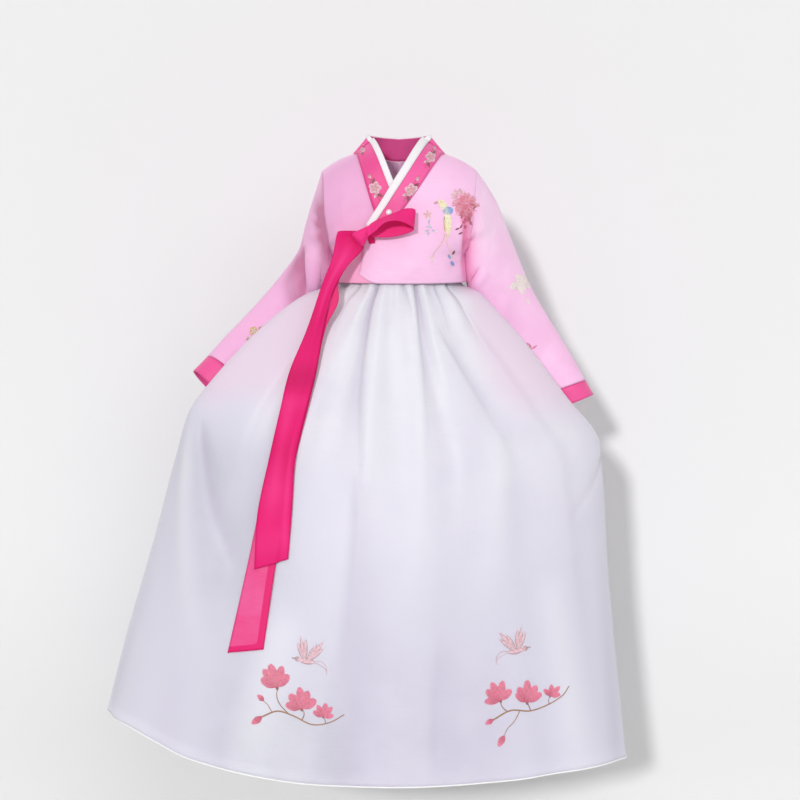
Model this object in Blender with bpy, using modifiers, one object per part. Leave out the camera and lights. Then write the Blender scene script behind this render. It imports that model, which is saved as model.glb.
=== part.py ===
"""A child's hanbok, worn and hollow: the jeogori (short jacket) over the chima (full skirt).

Metres, +Z up, the front faces -Y. Right and left are the wearer's, so right is -X.
The origin lies on the neck's axis at the height of the shoulders, where the wearer carries it.
"""

import math
from types import SimpleNamespace

import bmesh
import bpy
import mathutils
import mathutils.bvhtree
import numpy as np

# Driving sizes.
CLOTH = 0.0012  # wall of the jacket's cloth
SHEER = 0.0010  # wall of the skirt's layers, the white collar strip and the ribbons
SEAM = 0.0003  # gap between two pieces at a seam or in a stack
ROUNDNESS = 2.3  # exponent of the trunk's sections: 2 is an ellipse
ARCH_START = 0.65  # share of the way up a panel where it turns over the shoulder
ARMPIT = 0.28  # share of the way up a panel where the armhole starts
FLAP_REACH, FLAP_REACH_TOP = -0.0595, -0.0480  # the outer front's free edge, hem and top
FLAP_CORNER, FLAP_CORNER_WIDTH = 0.0145, 0.0310  # how its lower corner is rounded off
INNER_FLAP_REACH = -0.0210  # the inner front's free edge
FLAP_TOP = -0.1078  # height where the free edges run in under the collar
UNDERLAP_DEPTH = 0.0063  # how far the inner front lies behind the outer one at the collar
UNDERLAP_AT_HEM = 0.0026  # and at the hem
SEAM_ALLOWANCE = 0.0055  # how far a front reaches under the collar
COLLAR_WALL = 0.0014
COLLAR_EASE = 0.0006  # slack under the collar
VIEW_SLOPE = math.radians(6)  # the sleeves' lines are given as seen from this height
BAND_TOP, BAND_BOTTOM = -0.1080, -0.1610
INSIDE = 0.0082  # how far the skirt's top lies inside the jacket
LINING_INSET = 0.0050
LINING_REACH = 0.88  # share of the back's width that the lining keeps between the raised folds
BUTTON_DIAMETER, BUTTON_HEIGHT = 0.0086, 0.0040


def columns(names, rows):
    """A table as named columns."""
    values = np.array(rows, float).T
    return SimpleNamespace(**dict(zip(names.split(), values)))


# The trunk that the jacket's panels follow, from the hem to where the shoulder arch starts.
TRUNK = columns("up z half_width front back", [
    (0.00, -0.1840, 0.1030, 0.0880, 0.0800),
    (0.28, -0.1450, 0.1020, 0.0900, 0.0830),
    (0.36, -0.1310, 0.1140, 0.0900, 0.0840),
    (0.45, -0.1150, 0.1270, 0.0895, 0.0850),
    (0.65, -0.0750, 0.1370, 0.0850, 0.0840),
    (1.00, -0.0750, 0.1370, 0.0850, 0.0840),
])
# The shoulder line's height, from the neck's axis outwards. Inside the neck it is only a guide.
SHOULDER_LINE = columns("x z", [
    (0.000, 0.0370),
    (0.030, 0.0300),
    (0.062, 0.0090),
    (0.090, -0.0055),
    (0.130, -0.0300),
])
# The armhole's distance from the neck's axis.
ARMHOLE = columns("up x", [
    (0.28, 0.1020),
    (0.45, 0.1070),
    (0.65, 0.1115),
    (1.00, 0.1155),
])
# The collar's sewn edge from the middle of the back neck to the shoulder line. A turn counts up
# the back to 1 on the shoulder line and on down the front.
SEWN_ROUND_NECK = columns("along turn x", [
    (0.00, 0.800, 0.0000),
    (0.10, 0.820, 0.0290),
    (0.20, 0.880, 0.0530),
    (0.30, 1.000, 0.0655),
])
FREE_ROUND_NECK = columns("along x y z", [
    (0.00, 0.0000, 0.0530, 0.0300),
    (0.10, 0.0230, 0.0455, 0.0315),
    (0.20, 0.0395, 0.0250, 0.0340),
    (0.30, 0.0450, 0.0000, 0.0345),
])
# The lapels as seen from the front, by their sewn and their free edge.
OUTER_LAPEL = columns("along sewn_x sewn_z free_x free_z", [
    (0.45, 0.0600, 0.0010, 0.0320, 0.0240),
    (0.60, 0.0325, -0.0390, 0.0047, -0.0180),
    (0.80, 0.0020, -0.0840, -0.0258, -0.0660),
    (1.00, -0.0245, -0.1230, -0.0510, -0.1070),
])
INNER_LAPEL = columns("along sewn_x sewn_z free_x free_z", [
    (0.45, 0.0610, 0.0010, 0.0330, 0.0200),
    (0.60, 0.0485, -0.0410, 0.0105, -0.0310),
    (0.80, 0.0345, -0.0860, -0.0060, -0.0760),
    (1.00, 0.0210, -0.1280, -0.0190, -0.1190),
])
STRIP_SHARE = 0.30  # share of the collar's width that the white strip covers
STRIP_PROUD = 0.08  # and how far it stands past the free edge, in the same shares

# Each sleeve by its upper and its under line, with the middle and the half depth of its section.
SLEEVE_RIGHT = columns("along top_x top_z under_x under_z middle depth", [
    (0.00, -0.1160, -0.0225, -0.1025, -0.1450, 0.000, 0.0540),
    (0.12, -0.1285, -0.0560, -0.1047, -0.1620, 0.006, 0.0500),
    (0.26, -0.1390, -0.0900, -0.1068, -0.1980, 0.020, 0.0440),
    (0.40, -0.1520, -0.1340, -0.1180, -0.2430, 0.034, 0.0390),
    (0.52, -0.1785, -0.1700, -0.1330, -0.2900, 0.041, 0.0360),
    (0.64, -0.2095, -0.2075, -0.1551, -0.3225, 0.036, 0.0341),
    (0.75, -0.2385, -0.2400, -0.1800, -0.3400, 0.026, 0.0330),
    (0.89, -0.2670, -0.2710, -0.2160, -0.3460, 0.010, 0.0320),
    (1.00, -0.2905, -0.2985, -0.2440, -0.3420, -0.003, 0.0310),
    (1.13, -0.3110, -0.3205, -0.2680, -0.3650, -0.012, 0.0300),
])
SLEEVE_LEFT = columns("along top_x top_z under_x under_z middle depth", [
    (0.00, 0.1160, -0.0225, 0.1025, -0.1450, 0.000, 0.0540),
    (0.12, 0.1370, -0.0450, 0.1044, -0.1620, 0.002, 0.0500),
    (0.26, 0.1560, -0.0850, 0.1054, -0.2020, 0.004, 0.0430),
    (0.40, 0.1740, -0.1310, 0.1115, -0.2520, 0.007, 0.0390),
    (0.56, 0.1990, -0.1900, 0.1310, -0.3120, 0.012, 0.0350),
    (0.78, 0.2430, -0.2640, 0.1680, -0.3640, 0.015, 0.0320),
    (0.90, 0.2650, -0.3010, 0.1970, -0.3700, 0.012, 0.0310),
    (1.00, 0.2839, -0.3345, 0.2230, -0.3580, 0.008, 0.0310),
    (1.11, 0.2960, -0.3560, 0.2370, -0.3790, 0.006, 0.0300),
])

# The skirt's guides, from its seam with the band to the hem: both sides, the front and the back.
SKIRT_SIDES = columns("down right_x right_y right_z left_x left_y left_z", [
    (0.00, -0.0945, 0.000, -0.1615, 0.0945, 0.000, -0.1615),
    (0.08, -0.0960, -0.006, -0.1880, 0.0950, -0.006, -0.1875),
    (0.15, -0.1380, -0.046, -0.2010, 0.1206, -0.040, -0.2000),
    (0.21, -0.1760, -0.052, -0.2260, 0.1475, -0.048, -0.2264),
    (0.29, -0.2312, -0.062, -0.2757, 0.1985, -0.056, -0.2847),
    (0.37, -0.2825, -0.066, -0.3327, 0.2528, -0.058, -0.3567),
    (0.44, -0.3128, -0.058, -0.3740, 0.2967, -0.050, -0.4110),
    (0.52, -0.3370, -0.028, -0.4460, 0.3065, -0.044, -0.4700),
    (0.67, -0.3774, 0.008, -0.5840, 0.3162, -0.042, -0.6100),
    (0.84, -0.4210, 0.028, -0.7250, 0.3310, -0.050, -0.7700),
    (1.00, -0.4570, 0.040, -0.8570, 0.3450, -0.060, -0.9020),
])
SKIRT_FALL = columns("down front_y front_z back_y back_z wing hump", [
    (0.00, -0.0795, -0.1615, 0.0725, -0.1615, 0.0, 0.100),
    (0.08, -0.0812, -0.1880, 0.0740, -0.1880, 0.2, 0.104),
    (0.15, -0.0930, -0.2210, 0.0880, -0.2200, 1.0, 0.108),
    (0.21, -0.1060, -0.2610, 0.1040, -0.2600, 1.0, 0.114),
    (0.29, -0.1210, -0.3190, 0.1240, -0.3180, 1.0, 0.118),
    (0.37, -0.1360, -0.3840, 0.1450, -0.3830, 1.0, 0.140),
    (0.44, -0.1500, -0.4480, 0.1630, -0.4470, 0.6, 0.210),
    (0.52, -0.1650, -0.5200, 0.1790, -0.5200, 0.0, 0.300),
    (0.67, -0.1870, -0.6500, 0.2000, -0.6500, 0.0, 0.300),
    (0.84, -0.2070, -0.7860, 0.2190, -0.7860, 0.0, 0.300),
    (1.00, -0.2260, -0.9060, 0.2350, -0.9030, 0.0, 0.300),
])
FOLD_THICKNESS = 0.0070  # of the skirt's raised side folds

# The pleats and largest folds: where each leaves the band and reaches the hem, in degrees round
# the skirt from its left side by way of the back, its width there, and how far it stands out at
# the hem of the jacket, at the hands and at the hem.
FOLDS = columns("top foot top_width foot_width below_jacket at_hands at_hem", [
    (262, 258, 5, 13, 0.0030, 0.0060, 0.0040),
    (276, 283, 5, 12, 0.0030, 0.0070, 0.0035),
    (292, 306, 6, 12, 0.0028, 0.0060, 0.0050),
    (246, 236, 5, 12, 0.0028, 0.0055, 0.0045),
    (228, 214, 5, 11, 0.0025, 0.0050, 0.0050),
    (312, 330, 5, 10, 0.0025, 0.0045, 0.0040),
    (36, 28, 6, 11, 0.0028, 0.0050, 0.0060),
    (58, 52, 5, 10, 0.0030, 0.0060, 0.0080),
    (76, 74, 5, 9, 0.0030, 0.0070, 0.0070),
    (101, 103, 5, 10, 0.0030, 0.0065, 0.0085),
    (122, 128, 6, 10, 0.0030, 0.0060, 0.0075),
    (144, 152, 5, 11, 0.0028, 0.0050, 0.0060),
])

# The bow's loop by its two edges, from the knot out and back behind.
LOOP = columns("along over_x over_y over_z under_x under_y under_z", [
    (0.00, -0.0473, -0.1130, -0.1010, -0.0450, -0.1165, -0.1140),
    (0.12, -0.0380, -0.1080, -0.0935, -0.0345, -0.1220, -0.1060),
    (0.26, -0.0200, -0.1070, -0.0848, -0.0200, -0.1270, -0.0935),
    (0.38, -0.0040, -0.1070, -0.0790, -0.0040, -0.1280, -0.0905),
    (0.49, 0.0110, -0.1060, -0.0735, 0.0110, -0.1250, -0.0950),
    (0.57, 0.0225, -0.1050, -0.0745, 0.0205, -0.1170, -0.1010),
    (0.63, 0.0240, -0.1000, -0.0790, 0.0215, -0.1070, -0.1045),
    (0.74, 0.0100, -0.0960, -0.0830, 0.0100, -0.1025, -0.1105),
    (0.87, -0.0130, -0.0965, -0.0910, -0.0160, -0.1025, -0.1155),
    (1.00, -0.0412, -0.1005, -0.1040, -0.0410, -0.1030, -0.1150),
])
# The hanging ends as seen from the front, by their two edges from the knot down.
FRONT_TAIL = columns("along over_x over_z under_x under_z", [
    (0.00, -0.0756, -0.1075, -0.0680, -0.1295),
    (0.04, -0.0860, -0.1090, -0.0620, -0.1330),
    (0.09, -0.0964, -0.1390, -0.0700, -0.1510),
    (0.16, -0.1110, -0.1800, -0.0905, -0.1800),
    (0.28, -0.1349, -0.2500, -0.1105, -0.2500),
    (0.38, -0.1590, -0.3080, -0.1205, -0.3080),
    (0.50, -0.1732, -0.3650, -0.1354, -0.3650),
    (0.66, -0.1895, -0.4360, -0.1503, -0.4360),
    (0.82, -0.2060, -0.5140, -0.1554, -0.5110),
    (1.00, -0.2109, -0.5960, -0.1610, -0.5800),
])
BACK_TAIL = columns("along over_x over_z under_x under_z", [
    (0.00, -0.0690, -0.1295, -0.0520, -0.1320),
    (0.08, -0.0880, -0.1500, -0.0640, -0.1600),
    (0.14, -0.1020, -0.1850, -0.0865, -0.1850),
    (0.26, -0.1270, -0.2500, -0.1079, -0.2500),
    (0.38, -0.1590, -0.3300, -0.1240, -0.3280),
    (0.52, -0.1840, -0.4360, -0.1500, -0.4340),
    (0.66, -0.2040, -0.5100, -0.1640, -0.5060),
    (0.80, -0.2200, -0.5850, -0.1780, -0.5810),
    (1.00, -0.2504, -0.7190, -0.1969, -0.7100),
])
SHORT_END = columns("along over_x over_z under_x under_z", [
    (0.00, -0.0480, -0.1080, -0.0380, -0.1020),
    (1.00, -0.0440, -0.1255, -0.0350, -0.1245),
])
KNOT_CENTRE = (-0.0562, -0.1060, -0.1160)
KNOT_SIZE = (0.0310, 0.0190, 0.0265)
KNOT_TILT = math.radians(25)
BUTTON_PLACE = (-0.0150, -0.0805)  # x and z on the collar's outer end


def spline(keys, values, at):
    """Values at rising keys, joined by a smooth curve that never overshoots them."""
    at = np.clip(np.asarray(at, float), keys[0], keys[-1])
    step = np.diff(keys)
    slope = np.diff(values) / step
    tangent = np.zeros(len(keys))
    tangent[0], tangent[-1] = slope[0], slope[-1]
    same_way = slope[:-1] * slope[1:] > 0
    with np.errstate(divide="ignore", invalid="ignore"):
        mean = 3 * (step[:-1] + step[1:]) / (
            (2 * step[1:] + step[:-1]) / slope[:-1] + (step[1:] + 2 * step[:-1]) / slope[1:]
        )
    tangent[1:-1] = np.where(same_way, mean, 0.0)
    i = np.clip(np.searchsorted(keys, at, side="right") - 1, 0, len(step) - 1)
    t = (at - keys[i]) / step[i]
    return (
        values[i] * (1 + 2 * t) * (1 - t) ** 2
        + tangent[i] * step[i] * t * (1 - t) ** 2
        + values[i + 1] * t * t * (3 - 2 * t)
        + tangent[i + 1] * step[i] * t * t * (t - 1)
    )


def curve(keys, values, at):
    """Values at rising keys, joined by a softer curve that may swing a little past them."""
    at = np.clip(np.asarray(at, float), keys[0], keys[-1])
    tangent = np.gradient(values, keys)
    i = np.clip(np.searchsorted(keys, at, side="right") - 1, 0, len(keys) - 2)
    step = keys[i + 1] - keys[i]
    t = (at - keys[i]) / step
    return (
        values[i] * (1 + 2 * t) * (1 - t) ** 2
        + tangent[i] * step * t * (1 - t) ** 2
        + values[i + 1] * t * t * (3 - 2 * t)
        + tangent[i + 1] * step * t * t * (t - 1)
    )


def ease(start, end, at):
    """0 before start, 1 after end, and a smooth step between them."""
    t = np.clip((np.asarray(at, float) - start) / (end - start), 0, 1)
    return t * t * (3 - 2 * t)


def normals(points, closed):
    """The normals of a grid of points, row by row, to the right of the way along a row."""
    if closed:
        across = np.roll(points, -1, axis=1) - np.roll(points, 1, axis=1)
    else:
        across = np.gradient(points, axis=1)
    along = np.gradient(points, axis=0)
    found = np.cross(across, along)
    return found / np.maximum(np.linalg.norm(found, axis=2, keepdims=True), 1e-12)


def trunk(up, x, face):
    """Points on the trunk's form, face -1 in front and +1 behind, and x from the neck's axis."""
    width = spline(TRUNK.up, TRUNK.half_width, up)
    depth = spline(TRUNK.up, TRUNK.front if face < 0 else TRUNK.back, up)
    share = np.clip(np.abs(x) / width, 0, 1)
    arch = np.clip((up - ARCH_START) / (1 - ARCH_START), 0, 1) * math.pi / 2
    low = spline(TRUNK.up, TRUNK.z, up)
    top = spline(SHOULDER_LINE.x, SHOULDER_LINE.z, np.abs(x))
    y = face * depth * (1 - share**ROUNDNESS) ** (1 / ROUNDNESS) * np.cos(arch)
    z = low + (top - low) * np.sin(arch)
    return np.stack([x + 0 * y, y, z], axis=-1)


def front_turn(x, z):
    """The turn on the trunk's front at a place seen from the front."""
    x, z = np.asarray(x, float), np.asarray(z, float)
    low = TRUNK.z[-1]
    up = spline(TRUNK.z[:-1], TRUNK.up[:-1], z)
    top = spline(SHOULDER_LINE.x, SHOULDER_LINE.z, np.abs(x))
    rise = np.clip((z - low) / (top - low), 0, 1)
    return 2 - up - (1 - ARCH_START) * np.arcsin(rise) / (math.pi / 2)


def on_trunk(turn, x, lift):
    """Points lifted off the trunk, at a turn that counts up the back and down the front."""
    def point(turn, x):
        back = trunk(np.minimum(turn, 1), x, 1)
        front = trunk(np.minimum(2 - turn, 1), x, -1)
        return np.where((turn < 1)[..., None], back, front)

    turn, x = np.broadcast_arrays(np.asarray(turn, float), np.asarray(x, float))
    step = 0.0004
    by_turn = point(turn + step, x) - point(turn - step, x)
    by_x = point(turn, x + step) - point(turn, x - step)
    out = np.cross(by_turn, by_x)
    out /= np.linalg.norm(out, axis=-1, keepdims=True)
    return point(turn, x) + out * np.asarray(lift)[..., None]


def underlap(x, z):
    """How far the inner front lies back, where the outer front and the collar cover it."""
    deep = UNDERLAP_AT_HEM + (UNDERLAP_DEPTH - UNDERLAP_AT_HEM) * ease(-0.155, -0.130, z)
    return deep * ease(-0.085, -0.050, x) * ease(0.000, -0.045, z)


def sewn_line(side, alongs):
    """The collar's sewn edge as turns and places across, by the wearer's own side."""
    lapel = OUTER_LAPEL if side > 0 else INNER_LAPEL
    keys = np.concatenate([SEWN_ROUND_NECK.along, lapel.along])
    turn = np.concatenate([SEWN_ROUND_NECK.turn, front_turn(lapel.sewn_x, lapel.sewn_z)])
    x = np.concatenate([SEWN_ROUND_NECK.x, lapel.sewn_x])
    return curve(keys, turn, alongs), curve(keys, x, alongs)


def turned(width, start, end, count):
    """Places from start to end across a rounded section, spread evenly round it."""
    power = ROUNDNESS / 2
    ends = [
        np.sign(v) * np.arcsin(np.clip(np.abs(v) / width, 0, 1) ** power) for v in (start, end)
    ]
    angle = np.linspace(*ends, count)
    return np.sign(angle) * width * np.abs(np.sin(angle)) ** (1 / power)


def body_row(side, face, up, count):
    """One row of a jacket half, from its inner edge to its side seam or armhole."""
    width = float(spline(TRUNK.up, TRUNK.half_width, up))
    if up < ARMPIT:
        outer = width * 0.99998
    else:
        outer = float(spline(ARMHOLE.up, ARMHOLE.x, up))
    turns, places = sewn_line(side, np.linspace(0, 1, 200))
    turn = up if face > 0 else 2 - up
    cut = float(np.interp(turn, turns, places)) - SEAM_ALLOWANCE
    z = float(trunk(up, np.array(0.0), -1)[2])
    if face > 0:
        inner = SEAM / 2 if turn < turns[0] + 0.005 else max(cut, SEAM / 2)
    elif up < spline(TRUNK.z[:-1], TRUNK.up[:-1], FLAP_TOP) + 0.001:
        share = (z - TRUNK.z[0]) / (FLAP_TOP - TRUNK.z[0])
        inner = FLAP_REACH + (FLAP_REACH_TOP - FLAP_REACH) * share if side > 0 else INNER_FLAP_REACH
    else:
        inner = cut
    x = turned(width, inner, outer, count)
    points = trunk(up, x, face)
    if face < 0:
        corner = np.clip((inner + FLAP_CORNER_WIDTH - x) / FLAP_CORNER_WIDTH, 0, 1)
        points[:, 2] += FLAP_CORNER * corner**2 * max(1 - up / ARMPIT, 0) ** 2
    points[:, 1] += face * 0.0004 * ease(ARMPIT + 0.02, ARMPIT, up) * ease(0.8, 1.0, x / width)
    points[:, 0] *= side
    if side < 0 and face < 0:
        back = underlap(points[:, 0], points[:, 2])
        turn = np.where(up < 1, 2 - up, 1.0)
        points = on_trunk(turn, -points[:, 0], -back) * (-1, 1, 1)
    return points


def jacket_half(side, front_rows, back_rows, count):
    """Half of the jacket, cut in one from the front hem over the shoulder to the back hem."""
    rows = [body_row(side, -1, up, count) for up in front_rows]
    rows += [body_row(side, 1, up, count) for up in back_rows]
    return np.array(rows)


def armhole(side, count):
    """The armhole from the armpit up the front, over the shoulder and down the back."""
    up = np.linspace(ARMPIT, 1, count // 2 + 1)
    x = spline(ARMHOLE.up, ARMHOLE.x, up)
    front = trunk(up, x, -1)
    back = trunk(up, x, 1)[::-1]
    loop = np.concatenate([front, back[1:-1]])
    loop[:, 0] *= side
    return spaced_loop(loop, count)


def spaced_loop(loop, count):
    """A closed line again, with its first point kept and the points spread evenly."""
    shut = np.vstack([loop, loop[:1]])
    along = np.concatenate([[0], np.cumsum(np.linalg.norm(np.diff(shut, axis=0), axis=1))])
    at = np.linspace(0, along[-1], count + 1)[:-1]
    return np.stack([np.interp(at, along, shut[:, k]) for k in range(3)], axis=1)


def sleeve(side, form, alongs, count):
    """Rings of a sleeve, each from its under line up the front, over the top and down the back."""
    start = armhole(side, count)
    start[:, 0] += side * (SEAM + 0.0011)
    angle = np.linspace(0, 2 * math.pi, count, endpoint=False)

    def lines(along):
        found = {k: curve(form.along, v, along) for k, v in vars(form).items()}
        drop = found["middle"] * math.tan(VIEW_SLOPE)
        top = np.array([found["top_x"], found["middle"], found["top_z"] - drop])
        low = np.array([found["under_x"], found["middle"], found["under_z"] - drop])
        return (top + low) / 2, (low - top) / 2, found["depth"]

    rings = []
    for along in alongs:
        middle, half, depth = lines(along)
        way = lines(along + 0.02)[0] - lines(along - 0.02)[0]
        if along + 0.02 > form.along[-1]:
            way = middle - lines(along - 0.04)[0]
        way[1] *= float(ease(0.15, 0.60, along))
        deep = np.cross(half, way) * side
        deep *= depth / np.linalg.norm(deep)
        ring = middle + np.outer(np.cos(angle), half) + np.outer(np.sin(angle), deep)
        own = 1 - float(ease(0.0, 0.22, along))
        rings.append(ring * (1 - own) + start * own)
    return np.array(rings)


def skirt(downs, angles, inset=0.0, lining=False):
    """Rings of the skirt at shares of the way down, at angles from its left side by the back."""
    rings = []
    for down in downs:
        side = {k: float(curve(SKIRT_SIDES.down, v, down)) for k, v in vars(SKIRT_SIDES).items()}
        fall = {k: float(curve(SKIRT_FALL.down, v, down)) for k, v in vars(SKIRT_FALL).items()}
        wing = min(max(fall["wing"], 0.0), 1.0)
        middle = (side["right_x"] + side["left_x"]) / 2 * float(ease(0.3, 1.0, down))
        power = 1.0 - 0.12 * (1 - float(ease(0, 0.2, down)))

        def ring(c, s):
            x = middle + np.where(c > 0, side["left_x"] - middle, middle - side["right_x"]) * c
            left = (1 + c) / 2
            side_y = side["right_y"] * (1 - left) + side["left_y"] * left
            side_z = np.where(c > 0, side["left_z"], side["right_z"])
            front, back = np.clip(-s, 0, 1) ** power, np.clip(s, 0, 1) ** power
            bell = ease(1.0, 0.30, np.abs(x) / fall["hump"]) * (s > 0)
            back = back * (1 - wing) + bell * wing
            fold = FOLD_THICKNESS * ease(0, 0.25, np.clip(s, 0, 1)) * wing
            y = side_y + (fall["front_y"] - side_y) * front + (fall["back_y"] - side_y) * back
            end_z = np.where(s < 0, fall["front_z"], fall["back_z"])
            z = side_z + (end_z - side_z) * np.abs(s) ** 1.5
            return np.stack([x, y + fold, z, pleats(down, np.arctan2(s, c))], axis=-1)

        c, s = np.cos(angles), np.sin(angles)
        found = ring(c, s)
        if lining:
            reach = LINING_REACH * fall["hump"] / max(side["left_x"], -side["right_x"])
            reach = 1 - float(ease(0.0, 0.5, wing)) * (1 - min(reach, 1))
            deep = math.sqrt(max(1 - reach**2, 1e-9))
            held = np.clip(c, -reach, reach)
            share = np.clip((s + deep) / (2 * deep), 0, 1)[:, None]
            folded = ring(held, 0 * s - deep) * (1 - share) + ring(held, 0 * s + deep) * share
            found = np.where((np.abs(c) > reach)[:, None], folded, found)
        rings.append(found)
    rings = np.array(rings)
    rings, folds = rings[..., :3], rings[..., 3]
    return rings + outward(rings) * (folds - inset)[:, :, None]


def outward(rings):
    """Level directions that point away from the axis, across each ring."""
    along = np.roll(rings, -1, axis=1) - np.roll(rings, 1, axis=1)
    out = np.stack([along[:, :, 1], -along[:, :, 0], 0 * along[:, :, 0]], axis=-1)
    return out / np.maximum(np.linalg.norm(out, axis=2, keepdims=True), 1e-12)


def pleats(down, angles):
    """How far the pleats and folds stand out: a crisp ridge on one side and a slow slope behind."""
    total = np.zeros(len(angles))
    for k in range(len(FOLDS.top)):
        place = FOLDS.top[k] + (FOLDS.foot[k] - FOLDS.top[k]) * down
        width = FOLDS.top_width[k] + (FOLDS.foot_width[k] - FOLDS.top_width[k]) * down
        heights = (0.0008, FOLDS.below_jacket[k] * 0.5, FOLDS.at_hands[k], FOLDS.at_hem[k])
        height = float(spline(np.array([0.0, 0.08, 0.4, 1.0]), np.array(heights), down))
        away = (np.degrees(angles) - place + 180) % 360 - 180
        wide = np.where(away > 0, 0.65, 1.5) * width
        total += height * (np.exp(-((away / wide) ** 2)) - 0.35 * np.exp(-((away / wide / 2.4) ** 2)))
    return total


def collar_form(side, along, share):
    """The collar's form, unlifted, at places along it and shares of the way across it."""
    lapel = OUTER_LAPEL if side > 0 else INNER_LAPEL
    turn, x = sewn_line(side, along)
    sewn = on_trunk(turn, x, 0 * x)
    keys = np.concatenate([FREE_ROUND_NECK.along, lapel.along])
    on_front = on_trunk(front_turn(lapel.free_x, lapel.free_z), lapel.free_x, np.zeros(4))
    round_neck = np.stack([FREE_ROUND_NECK.x, FREE_ROUND_NECK.y, FREE_ROUND_NECK.z], axis=1)
    free = np.vstack([round_neck, on_front])
    free = np.stack([curve(keys, free[:, k], along) for k in range(3)], axis=-1)
    standing = sewn + (free - sewn) * share[..., None]
    x_here, z_here = standing[..., 0], standing[..., 2]
    lying = on_trunk(front_turn(x_here, z_here), x_here, 0 * x_here)
    flat = ease(0.34, 0.50, along) * ease(0.0, 0.2, share)
    if side < 0:
        back = underlap(-x_here, z_here) * ease(0.34, 0.45, along)
        lying = on_trunk(front_turn(x_here, z_here), x_here, -back)
        standing = standing + (0, 1, 0) * back[..., None]
    return standing + (lying - standing) * flat[..., None]


def collar_half(side, alongs, shares, lift):
    """Half of the collar from the middle of the back neck to its lapel's end, lifted."""
    along, share = np.meshgrid(alongs, shares, indexing="ij")
    step = 0.004
    by_along = collar_form(side, along + step, share) - collar_form(side, along - step, share)
    by_share = collar_form(side, along, share + step) - collar_form(side, along, share - step)
    out = np.cross(by_share, by_along)
    out /= np.linalg.norm(out, axis=-1, keepdims=True)
    form = collar_form(side, along, share)
    out *= np.sign((out * (form - (0, 0, -0.09))).sum(axis=-1, keepdims=True))
    return (form + out * lift) * (side, 1, 1)


def round_collar(alongs, shares, lift):
    """The whole collar in one, from the inner lapel's end round the neck to the outer lapel's."""
    inner, outer = (collar_half(side, alongs, shares, lift) for side in (-1, 1))
    return np.concatenate([inner[::-1], outer[1:]])


def strip_between(one, other, shares):
    """A grid across from one edge to another, at shares of the way."""
    return np.stack([one + (other - one) * share for share in shares], axis=1)


def ribbon(form, alongs, shares):
    """A ribbon's grid between its two edges."""
    one, other = [
        np.stack([curve(form.along, getattr(form, f"{edge}_{k}"), alongs) for k in "xyz"], axis=1)
        for edge in ("over", "under")
    ]
    return strip_between(one, other, shares)


def hanging(form, alongs, shares, surfaces, lift, start_y):
    """A ribbon's grid that hangs in front of the surfaces it passes, lifted off them."""
    one, other = [
        np.stack([curve(form.along, getattr(form, f"{edge}_{k}"), alongs) for k in "xz"], axis=1)
        for edge in ("over", "under")
    ]
    flat = strip_between(one, other, shares)
    depth = np.full(flat.shape[:2], -0.05)
    for i in range(flat.shape[0]):
        for j in range(flat.shape[1]):
            origin = mathutils.Vector((flat[i, j, 0], -1, flat[i, j, 1]))
            for surface in surfaces:
                hit = surface.ray_cast(origin, mathutils.Vector((0, 1, 0)))[0]
                if hit is not None:
                    depth[i, j] = min(depth[i, j], hit.y - lift)
    depth[0] = start_y
    for j in range(flat.shape[1]):
        down, touched = flat[:, j, 1], depth[:, j].copy()
        for i in range(len(down) - 2):
            for k in range(i + 2, len(down)):
                share = (down[i + 1:k] - down[i]) / (down[k] - down[i])
                chord = touched[i] + (touched[k] - touched[i]) * share
                depth[i + 1:k, j] = np.minimum(depth[i + 1:k, j], chord)
    return np.stack([flat[:, :, 0], depth, flat[:, :, 1]], axis=-1)


def surface_of(grid, closed):
    """A surface that rays can meet."""
    rows, count = grid.shape[:2]
    faces = [
        (i + j, i + (j + 1) % count, i + count + (j + 1) % count, i + count + j)
        for i in range(0, (rows - 1) * count, count)
        for j in range(count if closed else count - 1)
    ]
    return mathutils.bvhtree.BVHTree.FromPolygons(grid.reshape(-1, 3).tolist(), faces)


# From grids to solids.


def paint(obj, colour, roughness, metallic=0.0, sheen=0.0):
    """Gives the object a material of its own."""
    material = bpy.data.materials.new(obj.name)
    material.use_nodes = True
    shader = material.node_tree.nodes["Principled BSDF"]
    shader.inputs["Base Color"].default_value = (*colour, 1)
    shader.inputs["Roughness"].default_value = roughness
    shader.inputs["Metallic"].default_value = metallic
    shader.inputs["Sheen Weight"].default_value = sheen
    obj.data.materials.append(material)


def wall(name, grid, thickness, closed=False, towards=-1):
    """A cloth wall lofted through a grid of points: the grid is its outer face."""
    rows, count = grid.shape[:2]
    mesh = bpy.data.meshes.new(name)
    faces = []
    for i in range(rows - 1):
        for j in range(count if closed else count - 1):
            a, b = i * count + j, i * count + (j + 1) % count
            faces += [(a, b, b + count), (a, b + count, a + count)]
    mesh.from_pydata(grid.reshape(-1, 3).tolist(), [], faces)
    mesh.shade_smooth()
    obj = bpy.data.objects.new(name, mesh)
    HANBOK.objects.link(obj)
    solidify = obj.modifiers.new("wall", "SOLIDIFY")
    solidify.thickness = thickness
    solidify.offset = towards
    return obj


def facing_out(grid, closed, centre):
    """The grid turned round, if need be, so that its faces point away from a centre."""
    found = normals(grid, closed)
    away = ((grid - np.asarray(centre)) * found).sum()
    return grid if away > 0 else grid[:, ::-1]


PINK, HOT_PINK = (0.94, 0.52, 0.78), (0.80, 0.05, 0.24)
WHITE, LILAC_WHITE = (0.93, 0.91, 0.93), (0.80, 0.78, 0.86)
TRUNK_MIDDLE = (0, 0, -0.09)


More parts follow.
